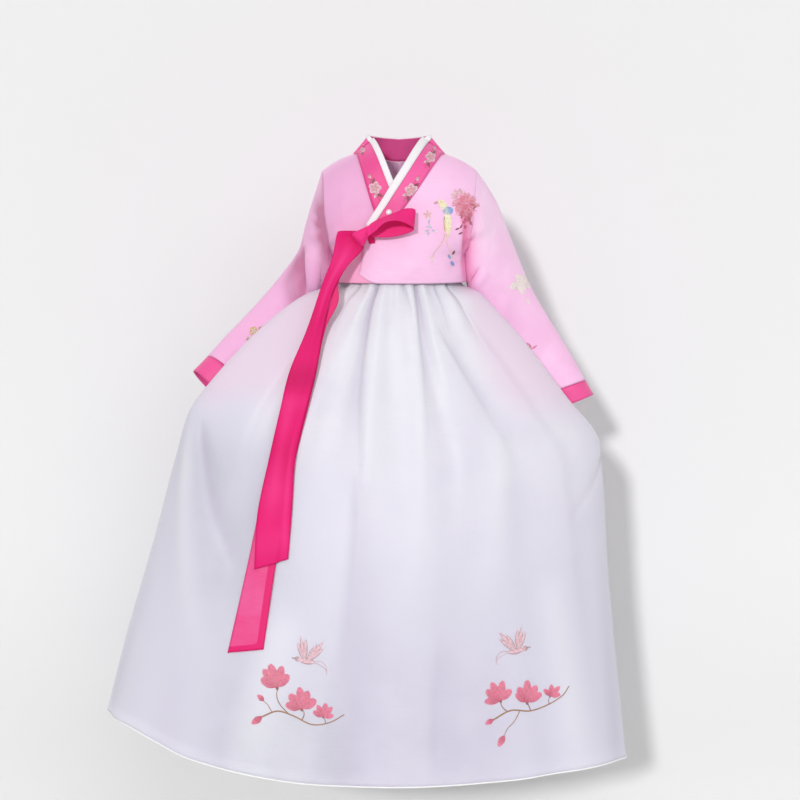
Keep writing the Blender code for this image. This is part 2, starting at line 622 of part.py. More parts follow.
def jacket():
    front_rows = (0, 0.07, 0.16, 0.28, 0.33, 0.39, 0.44, 0.49, 0.53, 0.59, 0.65, 0.73, 0.82, 0.92)
    back_rows = (1.0, 0.92, 0.86, 0.80, 0.72, 0.65, 0.56, 0.47, 0.39, 0.33, 0.28, 0.14, 0)
    for name, side in (("jacket_right_half", -1), ("jacket_left_half", 1)):
        grid = facing_out(jacket_half(side, front_rows, back_rows, 10), False, TRUNK_MIDDLE)
        paint(wall(name, grid, CLOTH), PINK, 0.55, sheen=0.2)
        FRONTS.append(surface_of(grid, False))


def sleeves():
    alongs = np.array([0, 0.06, 0.13, 0.21, 0.30, 0.39, 0.46, 0.53, 0.66, 0.82, 1.0])
    for name, side, form in (("right", -1, SLEEVE_RIGHT), ("left", 1, SLEEVE_LEFT)):
        grid = sleeve(side, form, alongs - 0.0008 * (alongs == 1), 16)
        obj = wall(f"sleeve_{name}", turned_out(grid), CLOTH, closed=True)
        paint(obj, PINK, 0.55, sheen=0.2)
        end = form.along[-1]
        cuff = sleeve(side, form, np.array([1.0008, (1 + end) / 2, end]), 16)
        obj = wall(f"cuff_{name}", turned_out(cuff), COLLAR_WALL, closed=True)
        paint(obj, HOT_PINK, 0.45)


def turned_out(rings):
    """Closed rings turned round, if need be, so that their faces point away from their middles."""
    away = rings - rings.mean(axis=1, keepdims=True)
    return rings if (away * normals(rings, True)).sum() > 0 else rings[:, ::-1]


def collar():
    alongs = (0, 0.05, 0.1, 0.15, 0.2, 0.25, 0.3, 0.35, 0.4, 0.45, 0.52, 0.6, 0.7, 0.8, 0.9, 1.0)
    alongs = np.array(alongs)
    pink = 1 - STRIP_SHARE
    lift = SEAM + COLLAR_EASE + COLLAR_WALL
    whole = round_collar(alongs, (0, pink / 2, pink, 1, 1 + STRIP_PROUD), lift)
    out = normals(whole, False)
    if (out * (whole - TRUNK_MIDDLE)).sum() < 0:
        whole, out = whole[::-1], -out[::-1]
    git, strip = whole[:, :4], (whole + out * (SEAM + SHEER + COLLAR_EASE + 0.0001))[:, 2:]
    paint(wall("collar_band", git, COLLAR_WALL), HOT_PINK, 0.4)
    paint(wall("collar_white_strip", strip, SHEER), WHITE, 0.5)
    FRONTS.append(surface_of(git, False))
    FRONTS.append(surface_of(strip, False))


def skirt_layers():
    angles = np.linspace(0, 2 * math.pi, 44, endpoint=False)
    downs = np.array([0, 0.08, 0.15, 0.21, 0.29, 0.37, 0.44, 0.52, 0.67, 0.84, 1.0])
    outer = turned_out(skirt(downs, angles))
    paint(wall("skirt_organza", outer, SHEER, closed=True), LILAC_WHITE, 0.45, sheen=0.3)
    FRONTS.append(surface_of(outer, True))
    downs[-1] = 0.982
    inset = SHEER + SEAM + (LINING_INSET - SHEER - SEAM) * ease(0, 0.12, downs)[:, None]
    lining = turned_out(skirt(downs, angles, inset, lining=True))
    paint(wall("skirt_lining", lining, SHEER, closed=True), WHITE, 0.35)


def ribbons():
    loop = ribbon(LOOP, np.linspace(0, 1, 19), (0, 0.5, 1))
    paint(wall("ribbon_loop", loop, SHEER, towards=0), HOT_PINK, 0.4)
    alongs = np.linspace(0, 1, 17)
    back = hanging(BACK_TAIL, alongs, (0, 0.5, 1), FRONTS, 0.0026, -0.0975)
    back = facing_out(back, False, (0, 0.3, -0.4))
    paint(wall("ribbon_back_tail", back, SHEER), HOT_PINK, 0.4)
    over = [*FRONTS, surface_of(back, False)]
    front = hanging(FRONT_TAIL, alongs, (0, 0.5, 1), over, 0.0026, -0.1030)
    front = facing_out(front, False, (0, 0.3, -0.4))
    paint(wall("ribbon_front_tail", front, SHEER), HOT_PINK, 0.4)
    short = hanging(SHORT_END, np.linspace(0, 1, 4), (0, 1), FRONTS, 0.0018, -0.0955)
    short = facing_out(short, False, (0, 0.3, -0.4))
    paint(wall("ribbon_short_end", short, SHEER), HOT_PINK, 0.4)
    knot = rounded_block("ribbon_knot", KNOT_SIZE, KNOT_CENTRE, KNOT_TILT)
    paint(knot, HOT_PINK, 0.4)


def rounded_block(name, size, centre, tilt):
    """A soft closed form between a block and an egg, tilted about the line of sight."""
    mesh = bpy.data.meshes.new(name)
    form = bmesh.new()
    bmesh.ops.create_uvsphere(form, u_segments=12, v_segments=7, radius=1)
    turn = mathutils.Matrix.Rotation(tilt, 3, "Y")
    for vert in form.verts:
        soft = [math.copysign(abs(k) ** 0.75, k) / 2 for k in vert.co]
        vert.co = turn @ mathutils.Vector(k * s for k, s in zip(soft, size))
        vert.co += mathutils.Vector(centre)
    form.to_mesh(mesh)
    form.free()
    mesh.shade_smooth()
    obj = bpy.data.objects.new(name, mesh)
    HANBOK.objects.link(obj)
    return obj


def button():
    x, z = BUTTON_PLACE
    top = on_trunk(front_turn(x, z), np.array(x), 2 * SEAM + COLLAR_EASE + COLLAR_WALL + BUTTON_HEIGHT / 2)
    size = (BUTTON_DIAMETER, BUTTON_HEIGHT, BUTTON_DIAMETER * 0.8)
    paint(rounded_block("snap_button", size, tuple(top), 0), WHITE, 0.2)


def trunk_ring(z, inset, count):
    """A ring round the trunk at one height, inside its form."""
    up = spline(TRUNK.z[:-1], TRUNK.up[:-1], z)
    width = min(float(spline(TRUNK.up, TRUNK.half_width, up)), TRUNK.half_width[0]) - inset
    angle = np.linspace(0, 2 * math.pi, count, endpoint=False)
    c, s = np.cos(angle), np.sin(angle)
    power = 2 / ROUNDNESS
    front, back = (float(spline(TRUNK.up, d, up)) - inset for d in (TRUNK.front, TRUNK.back))
    y = np.where(s < 0, front, back) * np.sign(s) * np.abs(s) ** power
    return np.stack([np.sign(c) * width * np.abs(c) ** power, y, 0 * s + z], axis=1)


def band():
    rings = np.array([trunk_ring(z, INSIDE, 40) for z in (BAND_TOP, BAND_BOTTOM)])
    paint(wall("skirt_band", turned_out(rings), CLOTH, closed=True), WHITE, 0.5)


HANBOK = bpy.data.collections.new("hanbok")
FRONTS = []  # the surfaces that the ribbons hang in front of


def main():
    for obj in list(bpy.data.objects):
        bpy.data.objects.remove(obj)
    bpy.context.scene.collection.children.link(HANBOK)
    jacket()
    sleeves()
    collar()
    skirt_layers()
    band()
    ribbons()
    button()


main()
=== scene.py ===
"""A child's hanbok, worn: its cloth, trim, ribbons and embroidery, finished on the fixed frame.

Metres, +Z up, the front faces -Y. Right and left are the wearer's, so right is -X.
"""
import math
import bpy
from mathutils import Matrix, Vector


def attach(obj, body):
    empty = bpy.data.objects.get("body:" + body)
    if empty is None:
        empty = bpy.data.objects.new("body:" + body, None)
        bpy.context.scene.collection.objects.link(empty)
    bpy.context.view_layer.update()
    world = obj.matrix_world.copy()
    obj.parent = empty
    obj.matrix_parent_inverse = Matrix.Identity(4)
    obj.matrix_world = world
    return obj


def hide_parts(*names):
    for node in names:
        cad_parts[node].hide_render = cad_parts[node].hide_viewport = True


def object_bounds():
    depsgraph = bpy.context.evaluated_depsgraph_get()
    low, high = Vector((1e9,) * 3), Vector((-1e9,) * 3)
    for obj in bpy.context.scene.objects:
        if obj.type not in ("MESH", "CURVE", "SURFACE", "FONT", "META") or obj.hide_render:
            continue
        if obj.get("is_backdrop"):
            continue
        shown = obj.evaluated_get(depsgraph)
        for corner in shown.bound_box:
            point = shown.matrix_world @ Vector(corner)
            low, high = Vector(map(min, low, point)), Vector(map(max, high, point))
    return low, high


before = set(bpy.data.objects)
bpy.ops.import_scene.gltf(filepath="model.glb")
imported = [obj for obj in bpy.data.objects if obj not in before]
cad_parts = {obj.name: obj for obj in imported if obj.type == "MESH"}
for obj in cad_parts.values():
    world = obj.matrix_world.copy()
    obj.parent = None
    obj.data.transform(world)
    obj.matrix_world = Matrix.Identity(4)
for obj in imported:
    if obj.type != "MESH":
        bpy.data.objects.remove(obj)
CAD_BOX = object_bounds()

from types import SimpleNamespace

import bmesh
import bpy
import mathutils
import mathutils.bvhtree
import numpy as np
from bpy.props import FloatProperty, FloatVectorProperty, IntProperty, PointerProperty

bl_info = {
    "name": "Child's hanbok",
    "version": (1, 0, 0),
    "blender": (4, 5, 0),
    "location": "View3D > Sidebar > Hanbok",
    "description": "Makes the cloth, ribbons, stitching and embroidery of a child's hanbok",
    "category": "Add Mesh",
}

# The garment's cut. Apart from the hem's lifts, these sizes and tables are the frame's own.

CLOTH = 0.0012  # wall of the jacket's cloth
SHEER = 0.0010  # wall of the skirt's layers, the white collar strip and the ribbons
SEAM = 0.0003  # gap between two pieces at a seam or in a stack
ROUNDNESS = 2.3  # exponent of the trunk's sections: 2 is an ellipse
ARCH_START = 0.65  # share of the way up a panel where it turns over the shoulder
ARMPIT = 0.28  # share of the way up a panel where the armhole starts
FLAP_REACH, FLAP_REACH_TOP = -0.0595, -0.0480  # the outer front's free edge, hem and top
FLAP_CORNER, FLAP_CORNER_WIDTH = 0.0145, 0.0310  # how its lower corner is rounded off
INNER_FLAP_REACH = -0.0210  # the inner front's free edge
FLAP_TOP = -0.1078  # height where the free edges run in under the collar
UNDERLAP_DEPTH = 0.0063  # how far the inner front lies behind the outer one at the collar
UNDERLAP_AT_HEM = 0.0026  # and at the hem
SEAM_ALLOWANCE = 0.0055  # how far a front reaches under the collar
COLLAR_WALL = 0.0014
COLLAR_EASE = 0.0006  # slack under the collar
COLLAR_LIFT = SEAM + COLLAR_EASE + COLLAR_WALL  # of its outer face off the fronts
VIEW_SLOPE = math.radians(6)  # the sleeves' lines are given as seen from this height
BAND_TOP, BAND_BOTTOM = -0.1080, -0.1610
INSIDE = 0.0082  # how far the skirt's top lies inside the jacket
LINING_INSET = 0.0050
LINING_REACH = 0.88  # share of the back's width that the lining keeps between the raised folds
BUTTON_DIAMETER, BUTTON_HEIGHT = 0.0086, 0.0040


def columns(names, rows):
    """A table as named columns, from text with a line for each row."""
    values = np.array([row.split() for row in rows.strip().splitlines()], float).T
    return SimpleNamespace(**dict(zip(names.split(), values)))


def each(table):
    """A table's rows, one after another."""
    for row in zip(*vars(table).values()):
        yield SimpleNamespace(**dict(zip(vars(table), row)))


# The trunk that the jacket's panels follow, from the hem to where the shoulder arch starts.
TRUNK = columns("up z half_width front back", """
      0 -.184 .103  .088  .08
    .28 -.145 .102   .09 .083
    .36 -.131 .114   .09 .084
    .45 -.115 .127 .0895 .085
    .65 -.075 .137  .085 .084
      1 -.075 .137  .085 .084
""")
# The shoulder line's height, from the neck's axis outwards. Inside the neck it is only a guide.
SHOULDER_LINE = columns("x z", """
       0   .037
     .03    .03
    .062   .009
     .09 -.0055
     .13   -.03
""")
# The armhole's distance from the neck's axis.
ARMHOLE = columns("up x", """
    .28  .102
    .45  .107
    .65 .1115
      1 .1155
""")
# The collar's sewn edge from the middle of the back neck to the shoulder line. A turn counts up
# the back to 1 on the shoulder line and on down the front.
SEWN_ROUND_NECK = columns("along turn x", """
     0  .8     0
    .1 .82  .029
    .2 .88  .053
    .3   1 .0655
""")
FREE_ROUND_NECK = columns("along x y z", """
     0     0  .053 .0285
    .1  .023 .0455   .03
    .2 .0395  .025 .0315
    .3  .045     0 .0325
""")
# The lapels as seen from the front, by their sewn and their free edge.
OUTER_LAPEL = columns("along sewn_x sewn_z free_x free_z", """
    .45    .06   .001   .032  .024
     .6  .0325  -.039  .0047 -.018
     .8   .002 -.0805  -.025 -.065
      1 -.0235 -.1165 -.0465 -.099
""")
INNER_LAPEL = columns("along sewn_x sewn_z free_x free_z", """
    .45  .061  .001  .033   .02
     .6 .0485 -.041 .0105 -.031
     .8 .0345 -.086 -.006 -.076
      1  .021 -.128 -.019 -.119
""")
STRIP_SHARE = 0.22  # share of the collar's width that the white strip covers
STRIP_PROUD = 0.05  # and how far it stands past the free edge, in the same shares
STRIP_GAP = 0.0001  # further off the collar than a seam

# Each sleeve by its upper and its under line, with the middle and the half depth of its section.
SLEEVE_RIGHT = columns("along top_x top_z under_x under_z middle depth", """
       0  -.116 -.0225 -.1025  -.145     0  .054
     .12 -.1285  -.056 -.1047  -.162  .006   .05
     .26  -.139   -.09 -.1068  -.198   .02  .044
      .4  -.152  -.134  -.118  -.243  .034  .039
     .52 -.1785   -.17  -.133   -.29  .041  .036
     .64 -.2095 -.2075 -.1551 -.3225  .036 .0341
     .75 -.2385   -.24   -.18   -.34  .026  .033
     .89  -.267  -.271  -.216  -.346   .01  .032
       1 -.2905 -.2985  -.244  -.342 -.003  .031
    1.13  -.311 -.3205  -.268  -.365 -.012   .03
""")
SLEEVE_LEFT = columns("along top_x top_z under_x under_z middle depth", """
       0  .116 -.0225 .1025 -.145    0 .054
     .12  .137  -.045 .1044 -.162 .002  .05
     .26  .156  -.085 .1054 -.202 .004 .043
      .4  .174  -.131 .1115 -.252 .007 .039
     .56  .199   -.19  .131 -.312 .012 .035
     .78  .243  -.264  .168 -.364 .015 .032
      .9  .265  -.301  .197  -.37 .012 .031
       1 .2839 -.3345  .223 -.358 .008 .031
    1.11  .296  -.356  .237 -.379 .006  .03
""")

# The skirt's guides, from its seam with the band to the hem: both sides, the front and the back.
SKIRT_SIDES = columns("down right_x right_y right_z left_x left_y left_z", """
      0 -.0945     0 -.1615 .0945     0 -.1615
    .08  -.096 -.006  -.188  .095 -.006 -.1875
    .15  -.138 -.046  -.201 .1206  -.04    -.2
    .21  -.176 -.052  -.226 .1475 -.048 -.2264
    .29 -.2312 -.062 -.2757 .1985 -.056 -.2847
    .37 -.2825 -.066 -.3327 .2528 -.058 -.3567
    .44 -.3128 -.058  -.374 .2967  -.05  -.411
    .52  -.337 -.028  -.446 .3065 -.044   -.47
    .67 -.3774  .008  -.584 .3162 -.042   -.61
    .84  -.421  .028  -.725  .331  -.05   -.77
      1  -.457   .04  -.857  .345  -.06  -.902
""")
SKIRT_FALL = columns("down front_y front_z back_y back_z wing hump", """
      0 -.0795 -.1615 .0725 -.1615  0   .1
    .08 -.0812  -.188  .074  -.188 .2 .104
    .15  -.093  -.221  .088   -.22  1 .108
    .21  -.106  -.261  .104   -.26  1 .114
    .29  -.121  -.319  .124  -.318  1 .118
    .37  -.136  -.384  .145  -.383  1  .14
    .44   -.15  -.448  .163  -.447 .6  .21
    .52  -.165   -.52  .179   -.52  0   .3
    .67  -.187   -.65    .2   -.65  0   .3
    .84  -.207  -.786  .219  -.786  0   .3
      1  -.226  -.906  .235  -.903  0   .3
""")
# How much higher than its CAD solid the front hem lies, by degrees round from each side.
HEM_LIFTS = columns("turn right left", """
     0     0     0
    14  .013 .0045
    31 .0245  .008
    49  .015  .006
    60  .012  .004
    72  .008  .003
    90 .0035 .0035
""")
FOLD_THICKNESS = 0.0070  # of the skirt's raised side folds
ARMHOLE_GAP = 0.0008  # between a jacket half and its sleeve

# The pleats and largest folds: where each leaves the band and reaches the hem, in degrees round
# the skirt from its left side by way of the back, its width there, and how far it stands out at
# the hem of the jacket, at the hands and at the hem.
FOLDS = columns("top foot top_width foot_width below_jacket at_hands at_hem", """
    262 258 5 13  .003  .006  .004
    276 283 5 12  .003  .007 .0035
    292 306 6 12 .0028  .006  .005
    246 236 5 12 .0028 .0055 .0045
    228 214 5 11 .0025  .005  .005
    312 330 5 10 .0025 .0045  .004
     36  28 6 11 .0028  .005  .006
     58  52 5 10  .003  .006  .008
     76  74 5  9  .003  .007  .007
    101 103 5 10  .003 .0065 .0085
    122 128 6 10  .003  .006 .0075
    144 152 5 11 .0028  .005  .006
""")

# The bow's loop by its two edges, from the knot out and back behind.
LOOP = columns("along over_x over_y over_z under_x under_y under_z", """
      0 -.0473  -.113  -.101  -.045 -.1165  -.114
    .12  -.038  -.108 -.0935 -.0345  -.122  -.106
    .26   -.02  -.107 -.0848   -.02  -.127 -.0935
    .38  -.004  -.107  -.079  -.004  -.128 -.0905
    .49   .011  -.106 -.0735   .011  -.125  -.095
    .57  .0225  -.105 -.0745  .0205  -.117  -.101
    .63   .024    -.1  -.079  .0215  -.107 -.1045
    .74    .01  -.096  -.083    .01 -.1025 -.1105
    .87  -.013 -.0965  -.091  -.016 -.1025 -.1155
      1 -.0412 -.1005  -.104  -.041  -.103  -.115
""")
# The hanging ends as seen from the front, by their two edges from the knot down.
FRONT_TAIL = columns("along over_x over_z under_x under_z", """
       0  -.062  -.106  -.054  -.125
     .04  -.088 -.1068  -.053  -.133
    .055 -.0903   -.11  -.057 -.1385
     .09 -.0964 -.1399 -.0701 -.1516
     .16  -.111   -.18 -.0915  -.183
     .28 -.1349   -.25 -.1105   -.25
     .38  -.159  -.308 -.1205  -.308
      .5 -.1732  -.365 -.1354  -.365
     .66 -.1895  -.436 -.1503  -.436
     .82  -.206  -.514 -.1554  -.511
       1 -.2109  -.596  -.161   -.58
""")
BACK_TAIL = columns("along over_x over_z under_x under_z", """
      0  -.069 -.1235  -.056 -.127
    .08  -.088   -.15 -.0745 -.156
    .14  -.102  -.185 -.0885 -.183
    .18   -.11  -.208  -.088 -.206
    .26  -.127   -.25  -.106 -.245
    .38  -.159   -.33  -.124 -.328
    .52  -.184  -.436   -.15 -.434
    .66  -.204   -.51  -.164 -.506
     .8   -.22  -.585  -.178 -.581
      1 -.2504  -.719 -.1969  -.71
""")
SHORT_END = columns("along over_x over_z under_x under_z", """
    0 -.048  -.108 -.038  -.102
    1 -.044 -.1255 -.035 -.1245
""")
FREE_DEPTH = -0.05  # how far front to back an end hangs where nothing lies behind it
KNOT_MIDDLE, KNOT_DEPTH = -0.1060, 0.0190  # front to back
BUTTON_PLACE = (-0.0146, -0.0798)  # x and z on the collar's outer end


def joined(keys, values, tangent, at):
    """Values at rising keys, joined by a smooth curve with its slope at each."""
    at = np.clip(np.asarray(at, float), keys[0], keys[-1])
    i = np.clip(np.searchsorted(keys, at, side="right") - 1, 0, len(keys) - 2)
    step = keys[i + 1] - keys[i]
    t = (at - keys[i]) / step
    return (values[i] * (1 + 2 * t) * (1 - t) ** 2 + tangent[i] * step * t * (1 - t) ** 2
            + values[i + 1] * t * t * (3 - 2 * t) + tangent[i + 1] * step * t * t * (t - 1))


def spline(keys, values, at):
    """Values at rising keys, joined by a smooth curve that never overshoots them."""
    step = np.diff(keys)
    slope = np.diff(values) / step
    tangent = np.zeros(len(keys))
    tangent[0], tangent[-1] = slope[0], slope[-1]
    same_way = slope[:-1] * slope[1:] > 0
    with np.errstate(divide="ignore", invalid="ignore"):
        mean = 3 * (step[:-1] + step[1:]) / (
            (2 * step[1:] + step[:-1]) / slope[:-1] + (step[1:] + 2 * step[:-1]) / slope[1:])
    tangent[1:-1] = np.where(same_way, mean, 0.0)
    return joined(keys, values, tangent, at)


def curve(keys, values, at):
    """Values at rising keys, joined by a softer curve that may swing a little past them."""
    return joined(keys, values, np.gradient(values, keys), at)


def steps(count):
    """Even steps from 0 to 1."""
    return np.linspace(0, 1, count)


def row_at(table, at):
    """A table's numbers at a place between its rows, by its first column."""
    keys = next(iter(vars(table).values()))
    return SimpleNamespace(**{k: float(curve(keys, v, at)) for k, v in vars(table).items()})


def between(one, other, share):
    """A share of the way from one to another."""
    return one + (other - one) * share


def unit(ways):
    """Ways of length 1."""
    return ways / np.maximum(np.linalg.norm(ways, axis=-1, keepdims=True), 1e-12)


def angles_round(count):
    """Even angles once round."""
    return np.linspace(0, math.tau, count, endpoint=False)


def ease(start, end, at):
    """0 before start, 1 after end, and a smooth step between them."""
    t = np.clip((np.asarray(at, float) - start) / (end - start), 0, 1)
    return t * t * (3 - 2 * t)


def normals(points, closed):
    """The normals of a grid of points, row by row, to the right of the way along a row."""
    if closed:
        across = np.roll(points, -1, axis=1) - np.roll(points, 1, axis=1)
    else:
        across = np.gradient(points, axis=1)
    along = np.gradient(points, axis=0)
    return unit(np.cross(across, along))


def trunk(up, x, face):
    """Points on the trunk's form, face -1 in front and +1 behind, and x from the neck's axis."""
    width = spline(TRUNK.up, TRUNK.half_width, up)
    depth = spline(TRUNK.up, TRUNK.front if face < 0 else TRUNK.back, up)
    share = np.clip(np.abs(x) / width, 0, 1)
    arch = np.clip((up - ARCH_START) / (1 - ARCH_START), 0, 1) * math.pi / 2
    low = spline(TRUNK.up, TRUNK.z, up)
    top = spline(SHOULDER_LINE.x, SHOULDER_LINE.z, np.abs(x))
    y = face * depth * (1 - share**ROUNDNESS) ** (1 / ROUNDNESS) * np.cos(arch)
    return np.stack([x + 0 * y, y, between(low, top, np.sin(arch))], axis=-1)


def front_turn(x, z):
    """The turn on the trunk's front at a place seen from the front."""
    x, z = np.asarray(x, float), np.asarray(z, float)
    low = TRUNK.z[-1]
    rows = np.linspace(0, ARCH_START, 400)
    up = np.interp(z, spline(TRUNK.up, TRUNK.z, rows), rows)
    top = spline(SHOULDER_LINE.x, SHOULDER_LINE.z, np.abs(x))
    rise = np.clip((z - low) / (top - low), 0, 1)
    return 2 - up - (1 - ARCH_START) * np.arcsin(rise) / (math.pi / 2)


def on_trunk(turn, x, lift):
    """Points lifted off the trunk, at a turn that counts up the back and down the front."""
    def point(turn, x):
        back = trunk(np.minimum(turn, 1), x, 1)
        front = trunk(np.minimum(2 - turn, 1), x, -1)
        return np.where((turn < 1)[..., None], back, front)

    turn, x = np.broadcast_arrays(np.asarray(turn, float), np.asarray(x, float))
    step = 0.0004
    by_turn = point(turn + step, x) - point(turn - step, x)
    by_x = point(turn, x + step) - point(turn, x - step)
    return point(turn, x) + unit(np.cross(by_turn, by_x)) * np.asarray(lift)[..., None]


def underlap(x, z):
    """How far the inner front lies back, where the outer front and the collar cover it."""
    deep = between(UNDERLAP_AT_HEM, UNDERLAP_DEPTH, ease(-0.155, -0.130, z))
    return deep * ease(-0.085, -0.050, x) * ease(0.000, -0.045, z)


def sewn_line(side, alongs):
    """The collar's sewn edge as turns and places across, by the wearer's own side."""
    lapel = OUTER_LAPEL if side > 0 else INNER_LAPEL
    down = np.linspace(lapel.along[0], 1, 60)
    x, z = (curve(lapel.along, line, down) for line in (lapel.sewn_x, lapel.sewn_z))
    keys = np.concatenate([SEWN_ROUND_NECK.along, down])
    turn = np.concatenate([SEWN_ROUND_NECK.turn, front_turn(x, z)])
    return curve(keys, turn, alongs), curve(keys, np.concatenate([SEWN_ROUND_NECK.x, x]), alongs)


def turned(width, start, end, count):
    """Places from start to end across a rounded section, spread evenly round it."""
    power = ROUNDNESS / 2
    ends = [np.sign(v) * np.arcsin(np.clip(np.abs(v) / width, 0, 1) ** power) for v in (start, end)]
    angle = np.linspace(*ends, count)
    return np.sign(angle) * width * np.abs(np.sin(angle)) ** (1 / power)


def body_row(side, face, up, count):
    """One row of a jacket half, from its inner edge to its side seam or armhole."""
    width = float(spline(TRUNK.up, TRUNK.half_width, up))
    outer = width * 0.99998 if up < ARMPIT else float(spline(ARMHOLE.up, ARMHOLE.x, up))
    turns, places = sewn_line(side, steps(200))
    turn = up if face > 0 else 2 - up
    cut = float(np.interp(turn, turns, places)) - SEAM_ALLOWANCE
    z = float(trunk(up, np.array(0.0), -1)[2])
    if face > 0:
        inner = SEAM / 2 if turn < turns[0] + 0.005 else max(cut, SEAM / 2)
    elif up < spline(TRUNK.z[:-1], TRUNK.up[:-1], FLAP_TOP) + 0.001:
        share = (z - TRUNK.z[0]) / (FLAP_TOP - TRUNK.z[0])
        inner = between(FLAP_REACH, FLAP_REACH_TOP, share) if side > 0 else INNER_FLAP_REACH
    else:
        inner = cut
    x = turned(width, inner, outer, count)
    points = trunk(up, x, face)
    if face < 0:
        corner = np.clip((inner + FLAP_CORNER_WIDTH - x) / FLAP_CORNER_WIDTH, 0, 1)
        points[:, 2] += FLAP_CORNER * corner**2 * max(1 - up / ARMPIT, 0) ** 2
    points[:, 1] += face * 0.0004 * ease(ARMPIT + 0.02, ARMPIT, up) * ease(0.8, 1.0, x / width)
    points[:, 0] *= side
    if side < 0 and face < 0:
        back = underlap(points[:, 0], points[:, 2])
        turn = np.where(up < 1, 2 - up, 1.0)
        points = on_trunk(turn, -points[:, 0], -back) * (-1, 1, 1)
    return points


def jacket_half(side, front_rows, back_rows, count):
    """Half of the jacket, cut in one from the front hem over the shoulder to the back hem."""
    rows = [body_row(side, -1, up, count) for up in front_rows]
    rows += [body_row(side, 1, up, count) for up in back_rows]
    return np.array(rows)


def armhole(side, count):
    """The armhole in even steps, from the armpit up the front, over the shoulder and down the back."""
    up = np.linspace(ARMPIT, 1, count // 2 + 1)
    x = spline(ARMHOLE.up, ARMHOLE.x, up)
    loop = np.concatenate([trunk(up, x, -1), trunk(up, x, 1)[::-1][1:]])
    loop[-1] = loop[0]
    loop[:, 0] *= side
    along = lengths(loop[:, None], 0)[:, 0]
    at = np.linspace(0, along[-1], count + 1)[:-1]
    return np.stack([np.interp(at, along, loop[:, k]) for k in range(3)], axis=1)


def sleeve(side, form, alongs, count):
    """Rings of a sleeve, each from its under line up the front, over the top and down the back."""
    start = armhole(side, count) - (side * ARMHOLE_GAP, 0, 0)
    angle = angles_round(count)

    def lines(along):
        found = row_at(form, along)
        drop = found.middle * math.tan(VIEW_SLOPE)
        top = np.array([found.top_x, found.middle, found.top_z - drop])
        low = np.array([found.under_x, found.middle, found.under_z - drop])
        return (top + low) / 2, (low - top) / 2, found.depth

    rings = []
    for along in alongs:
        middle, half, depth = lines(along)
        way = lines(along + 0.02)[0] - lines(along - 0.02)[0]
        if along + 0.02 > form.along[-1]:
            way = middle - lines(along - 0.04)[0]
        way[1] *= float(ease(0.15, 0.60, along))
        deep = np.cross(half, way) * side
        deep *= depth / np.linalg.norm(deep)
        ring = middle + np.outer(np.cos(angle), half) + np.outer(np.sin(angle), deep)
        own = 1 - float(ease(0.0, 0.22, along))
        rings.append(ring * (1 - own) + start * own)
    return np.array(rings)


def skirt(downs, angles, inset=0.0, lining=False):
    """Rings of the skirt at shares of the way down, at angles from its left side by the back."""
    rings = []
    for down in downs:
        side, fall = row_at(SKIRT_SIDES, down), row_at(SKIRT_FALL, down)
        wing = min(max(fall.wing, 0.0), 1.0)
        middle = (side.right_x + side.left_x) / 2 * float(ease(0.3, 1.0, down))
        power = 1.0 - 0.12 * (1 - float(ease(0, 0.2, down)))

        def ring(c, s):
            x = middle + np.where(c > 0, side.left_x - middle, middle - side.right_x) * c
            left = (1 + c) / 2
            side_y = side.right_y * (1 - left) + side.left_y * left
            side_z = np.where(c > 0, side.left_z, side.right_z)
            front, back = np.clip(-s, 0, 1) ** power, np.clip(s, 0, 1) ** power
            bell = ease(1.0, 0.30, np.abs(x) / fall.hump) * (s > 0)
            back = back * (1 - wing) + bell * wing
            fold = FOLD_THICKNESS * ease(0, 0.25, np.clip(s, 0, 1)) * wing
            y = side_y + (fall.front_y - side_y) * front + (fall.back_y - side_y) * back
            z = between(side_z, np.where(s < 0, fall.front_z, fall.back_z), np.abs(s) ** 1.5)
            turn = np.degrees(np.arctan2(np.abs(s), np.abs(c)))
            lift = np.where(c > 0, spline(HEM_LIFTS.turn, HEM_LIFTS.left, turn),
                            spline(HEM_LIFTS.turn, HEM_LIFTS.right, turn))
            lift = lift * (s < 0) * ease(0.78, 1.0, down)
            x, y, z = x - 0.27 * lift * c, y + 0.16 * lift * np.abs(s), z + lift
            return np.stack([x, y + fold, z, pleats(down, np.arctan2(s, c))], axis=-1)

        c, s = np.cos(angles), np.sin(angles)
        found = ring(c, s)
        if lining:
            reach = LINING_REACH * fall.hump / max(side.left_x, -side.right_x)
            reach = 1 - float(ease(0.0, 0.5, wing)) * (1 - min(reach, 1))
            deep = math.sqrt(max(1 - reach**2, 1e-9))
            held = np.clip(c, -reach, reach)
            share = np.clip((s + deep) / (2 * deep), 0, 1)[:, None]
            folded = ring(held, 0 * s - deep) * (1 - share) + ring(held, 0 * s + deep) * share
            found = np.where((np.abs(c) > reach)[:, None], folded, found)
        rings.append(found)
    rings, folds = np.array(rings)[..., :3], np.array(rings)[..., 3]
    return rings + outward(rings) * (folds - inset)[:, :, None]


def outward(rings):
    """Level directions that point away from the axis, across each ring."""
    along = np.roll(rings, -1, axis=1) - np.roll(rings, 1, axis=1)
    return unit(np.stack([along[:, :, 1], -along[:, :, 0], 0 * along[:, :, 0]], axis=-1))


def pleats(down, angles):
    """How far the pleats and folds stand out: a crisp ridge on one side and a slow slope behind."""
    total = np.zeros(len(angles))
    for k in each(FOLDS):
        width = between(k.top_width, k.foot_width, down)
        heights = np.array([0.0008, k.below_jacket * 0.5, k.at_hands, k.at_hem])
        height = float(spline(np.array([0.0, 0.08, 0.4, 1.0]), heights, down))
        away = degrees_from(angles, between(k.top, k.foot, down))
        wide = np.where(away > 0, 0.65, 1.5) * width
        total += height * (np.exp(-((away / wide) ** 2)) - 0.35 * np.exp(-((away / wide / 2.4) ** 2)))
    return total + skirt_creases(down, angles)


